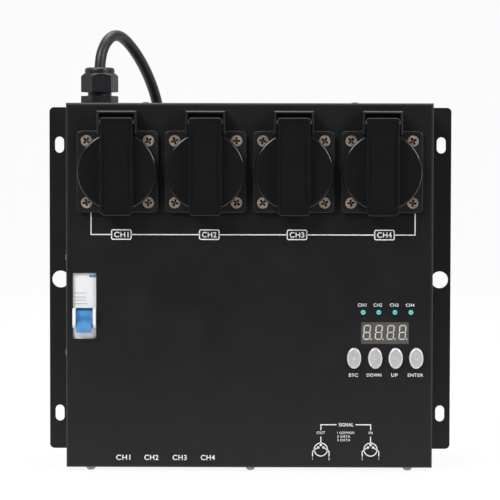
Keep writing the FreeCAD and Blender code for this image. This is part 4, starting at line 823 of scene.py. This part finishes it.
class DIMMER_PACK_OT_signal_sockets(bpy.types.Operator):
    """Finishes the signal sockets and prints their diagram"""

    bl_idname = "dimmer_pack.signal_sockets"
    bl_label = "Signal sockets"

    RING_Z, RING_R, BRACKET_Z, BRACKET_GAP, NAME_Z = 13.8, 4.05, 29.2, (54.0, 65.7), 24.2
    LEGEND_X, LEGEND = 54.4, (("1 COMMON", 24.2, 10.4), ("2 DATA", 21.9, 8.0), ("3 DATA", 19.7, 8.0))
    THIN, CONTACT_R, TOP_CONTACT, SIDE_CONTACT = 0.6, 0.8, 2.9, (1.6, 1.25)
    TOP_LEADER, SIDE_LEADER = (8.0, 3.4), ((1.8, 1.2), (4.4, -0.5), (5.1, -1.3), (5.1, -4.3))
    BRACKET_DROP, NUMBER_X, NUMBER_Z, NUMBER_HEIGHT = 3.4, 5.1, 8.1, 1.5
    TITLE_HEIGHT, TITLE_WIDTH, NAME_HEIGHT, LETTER_WEIGHT = 2.2, 9.0, 1.7, 0.01

    def contact_diagram(self, x):
        """A ring with three contacts and their leader lines."""
        z = self.RING_Z

        def metres(points):
            return [(a * MM, b * MM) for a, b in points]

        def line(points, closed=False):
            return filled(stroke(metres(points), self.THIN * MM, closed))

        def contact(a, b):
            return filled([metres(ring(a, b, self.CONTACT_R, DOT_STEPS))])

        meshes = [line(ring(x, z, self.RING_R), closed=True)]
        meshes.append(line([(x, z + rise) for rise in self.TOP_LEADER]))
        meshes.append(contact(x, z + self.TOP_CONTACT))
        for side in (-1, 1):
            meshes.append(line([(x + side * a, z + b) for a, b in self.SIDE_LEADER]))
            meshes.append(contact(x + side * self.SIDE_CONTACT[0], z + self.SIDE_CONTACT[1]))
        return meshes

    def execute(self, context):
        dress("die_cast_zinc", "signal_out_shell", "signal_in_shell", "signal_out_latch")
        dress("moulded_polyamide", "signal_out_insert")
        dress("turned_brass", "signal_in_pins")
        dress("nickel_plated_screw", "signal_screws")
        out_x, in_x = (centre_of(node).x / MM for node in ("signal_out_insert", "signal_in_shell"))
        gap, top = self.BRACKET_GAP, self.BRACKET_Z * MM
        drop = (self.BRACKET_Z - self.BRACKET_DROP) * MM
        name_z, small, weight = self.NAME_Z * MM, self.NUMBER_HEIGHT * MM, self.LETTER_WEIGHT
        meshes = []
        for x, near in ((out_x, gap[0]), (in_x, gap[1])):
            path = [(x * MM, drop), (x * MM, top), (near * MM, top)]
            meshes.append(filled(stroke(path, self.THIN * MM)))
            meshes += self.contact_diagram(x)
            numbers = ("1", "2") if x == out_x else ("2", "1")
            for number, side in zip(numbers, (-1, 1)):
                number_x = (x + side * self.NUMBER_X) * MM
                meshes.append(lettering(number, number_x, self.NUMBER_Z * MM, small, weight=weight))
        middle_x = sum(gap) / 2 * MM
        meshes.append(lettering("SIGNAL", middle_x, top, self.TITLE_HEIGHT * MM, self.TITLE_WIDTH * MM))
        for text, x in (("OUT", out_x), ("IN", in_x)):
            meshes.append(lettering(text, x * MM, name_z, self.NAME_HEIGHT * MM, weight=weight))
        for text, z, width in self.LEGEND:
            text_x = (self.LEGEND_X + width / 2) * MM
            meshes.append(lettering(text, text_x, z * MM, small, width * MM, weight))
        printed("signal_print", meshes, FRONT_Y, "screen_ink")
        return {"FINISHED"}


class DIMMER_PACK_OT_stage(bpy.types.Operator):
    """Sets the pale floor with its backdrop, the soft boxes and the light of the room"""

    bl_idname = "dimmer_pack.stage"
    bl_label = "Stage"

    HALF_WIDTH, FRONT, BACK, BEND, BEND_STEPS, HEIGHT = 4.0, -0.3, 2.2, 1.2, 24, 4.0
    WHITE_SHARE, DIMMEST_Y, BRIGHTEST_Y = 0.92, -0.8, -0.1
    TARGET = (0.0, 0.0, 0.12)
    KEY_PLACE, FILL_PLACE, TOP_PLACE = (-1.3, -1.5, 1.7), (1.6, -1.2, 1.1), (0.0, 0.4, 1.9)
    KEY_BREADTH, FILL_BREADTH, TOP_BREADTH = 1.0, 0.9, 1.2

    def floor_material(self, shade):
        """Pale paper that reads as its own shade in the view, and keeps the pack's shadow."""
        material = bpy.data.materials.new("backdrop_paper")
        material.use_nodes = True
        tree = material.node_tree
        tree.nodes.clear()
        path = add_node(tree, "ShaderNodeLightPath")
        seen = add_node(tree, "ShaderNodeMath", {
            0: path.outputs["Is Camera Ray"], 1: path.outputs["Is Glossy Ray"]}, operation="MAXIMUM")
        seen = add_node(tree, "ShaderNodeMath", {
            0: seen.outputs[0], 1: path.outputs["Is Transmission Ray"]}, operation="MAXIMUM")
        share = add_node(tree, "ShaderNodeMath", {
            0: seen.outputs[0], 1: self.WHITE_SHARE}, operation="MULTIPLY")
        paper = add_node(tree, "ShaderNodeBsdfDiffuse", {"Color": (*shade, 1.0)})
        white = add_node(tree, "ShaderNodeEmission", {"Color": (1, 1, 1, 1), "Strength": 1.0})
        mixed = add_node(tree, "ShaderNodeMixShader", {
            0: share.outputs[0], 1: paper.outputs[0], 2: white.outputs[0]})
        add_node(tree, "ShaderNodeOutputMaterial", {"Surface": mixed.outputs[0]})
        return material

    def soft_box(self, scene, name, place, breadth, power):
        """A square area light turned to the pack."""
        data = bpy.data.lights.new(name, "AREA")
        data.shape, data.size, data.energy = "SQUARE", breadth, power
        lamp = bpy.data.objects.new(name, data)
        lamp.location = place
        lamp.rotation_euler = (Vector(self.TARGET) - Vector(place)).to_track_quat("-Z", "Y").to_euler()
        scene.collection.objects.link(lamp)

    def room(self, stage):
        """A world that is bright above, behind and to both sides, and dim in front of the pack."""
        world = bpy.data.worlds.new("room")
        world.use_nodes = True
        tree = world.node_tree
        tree.nodes.clear()
        place = add_node(tree, "ShaderNodeTexCoord")
        ways = add_node(tree, "ShaderNodeSeparateXYZ", {0: place.outputs["Generated"]})
        strength = add_node(tree, "ShaderNodeMapRange", {
            "Value": ways.outputs["Y"], "From Min": self.DIMMEST_Y, "From Max": self.BRIGHTEST_Y,
            "To Min": stage.front, "To Max": stage.room})
        light = add_node(tree, "ShaderNodeBackground", {
            "Color": (1, 1, 1, 1), "Strength": strength.outputs[0]})
        add_node(tree, "ShaderNodeOutputWorld", {"Surface": light.outputs[0]})
        return world

    def execute(self, context):
        scene = context.scene
        stage = scene.dimmer_pack_stage
        profile = [(self.FRONT, 0.0), (self.BACK, 0.0)]
        profile += [(self.BACK + self.BEND * math.sin(a), self.BEND * (1 - math.cos(a)))
                    for a in (math.radians(90 * (k + 1) / self.BEND_STEPS) for k in range(self.BEND_STEPS))]
        profile.append((self.BACK + self.BEND, self.HEIGHT))
        mesh = bpy.data.meshes.new("backdrop")
        verts = [(side * self.HALF_WIDTH, y, z) for y, z in profile for side in (-1, 1)]
        faces = [(2 * k, 2 * k + 1, 2 * k + 3, 2 * k + 2) for k in range(len(profile) - 1)]
        mesh.from_pydata(verts, [], faces)
        mesh.shade_smooth()
        mesh.materials.append(self.floor_material(stage.floor))
        backdrop = bpy.data.objects.new("backdrop", mesh)
        scene.collection.objects.link(backdrop)
        self.soft_box(scene, "key_light", self.KEY_PLACE, self.KEY_BREADTH, stage.key)
        self.soft_box(scene, "fill_light", self.FILL_PLACE, self.FILL_BREADTH, stage.fill)
        self.soft_box(scene, "top_light", self.TOP_PLACE, self.TOP_BREADTH, stage.top)
        scene.world = self.room(stage)
        scene.view_settings.view_transform = "Standard"
        return {"FINISHED"}


OPERATORS = (
    DIMMER_PACK_OT_camera,
    DIMMER_PACK_OT_mains_lead,
    DIMMER_PACK_OT_case,
    DIMMER_PACK_OT_outlets,
    DIMMER_PACK_OT_breaker,
    DIMMER_PACK_OT_control_panel,
    DIMMER_PACK_OT_power_side,
    DIMMER_PACK_OT_fuses,
    DIMMER_PACK_OT_signal_sockets,
    DIMMER_PACK_OT_stage,
)


class DIMMER_PACK_PT_panel(bpy.types.Panel):
    """Lists the pack's settings and pieces"""

    bl_idname = "DIMMER_PACK_PT_panel"
    bl_label = "Dimmer Pack"
    bl_space_type = "VIEW_3D"
    bl_region_type = "UI"
    bl_category = "Dimmer Pack"

    def draw(self, context):
        layout = self.layout
        for group in (context.scene.dimmer_pack_sizes, context.scene.dimmer_pack_colours,
                      context.scene.dimmer_pack_stage):
            box = layout.box()
            for name in group.__annotations__:
                box.prop(group, name)
        for operator in OPERATORS:
            layout.operator(operator.bl_idname)


GROUPS = (DimmerPackColours, DimmerPackSizes, DimmerPackStage)


def register():
    for group in GROUPS + OPERATORS + (DIMMER_PACK_PT_panel,):
        bpy.utils.register_class(group)
    bpy.types.Scene.dimmer_pack_colours = bpy.props.PointerProperty(type=DimmerPackColours)
    bpy.types.Scene.dimmer_pack_sizes = bpy.props.PointerProperty(type=DimmerPackSizes)
    bpy.types.Scene.dimmer_pack_stage = bpy.props.PointerProperty(type=DimmerPackStage)


def unregister():
    del bpy.types.Scene.dimmer_pack_colours
    del bpy.types.Scene.dimmer_pack_sizes
    del bpy.types.Scene.dimmer_pack_stage
    for group in reversed(GROUPS + OPERATORS + (DIMMER_PACK_PT_panel,)):
        bpy.utils.unregister_class(group)


def main():
    register()
    bpy.ops.dimmer_pack.camera()
    bpy.ops.dimmer_pack.mains_lead()
    bpy.ops.dimmer_pack.case()
    bpy.ops.dimmer_pack.outlets()
    bpy.ops.dimmer_pack.breaker()
    bpy.ops.dimmer_pack.control_panel()
    bpy.ops.dimmer_pack.power_side()
    bpy.ops.dimmer_pack.fuses()
    bpy.ops.dimmer_pack.signal_sockets()
    bpy.ops.dimmer_pack.stage()


if __name__ == "__main__":
    main()
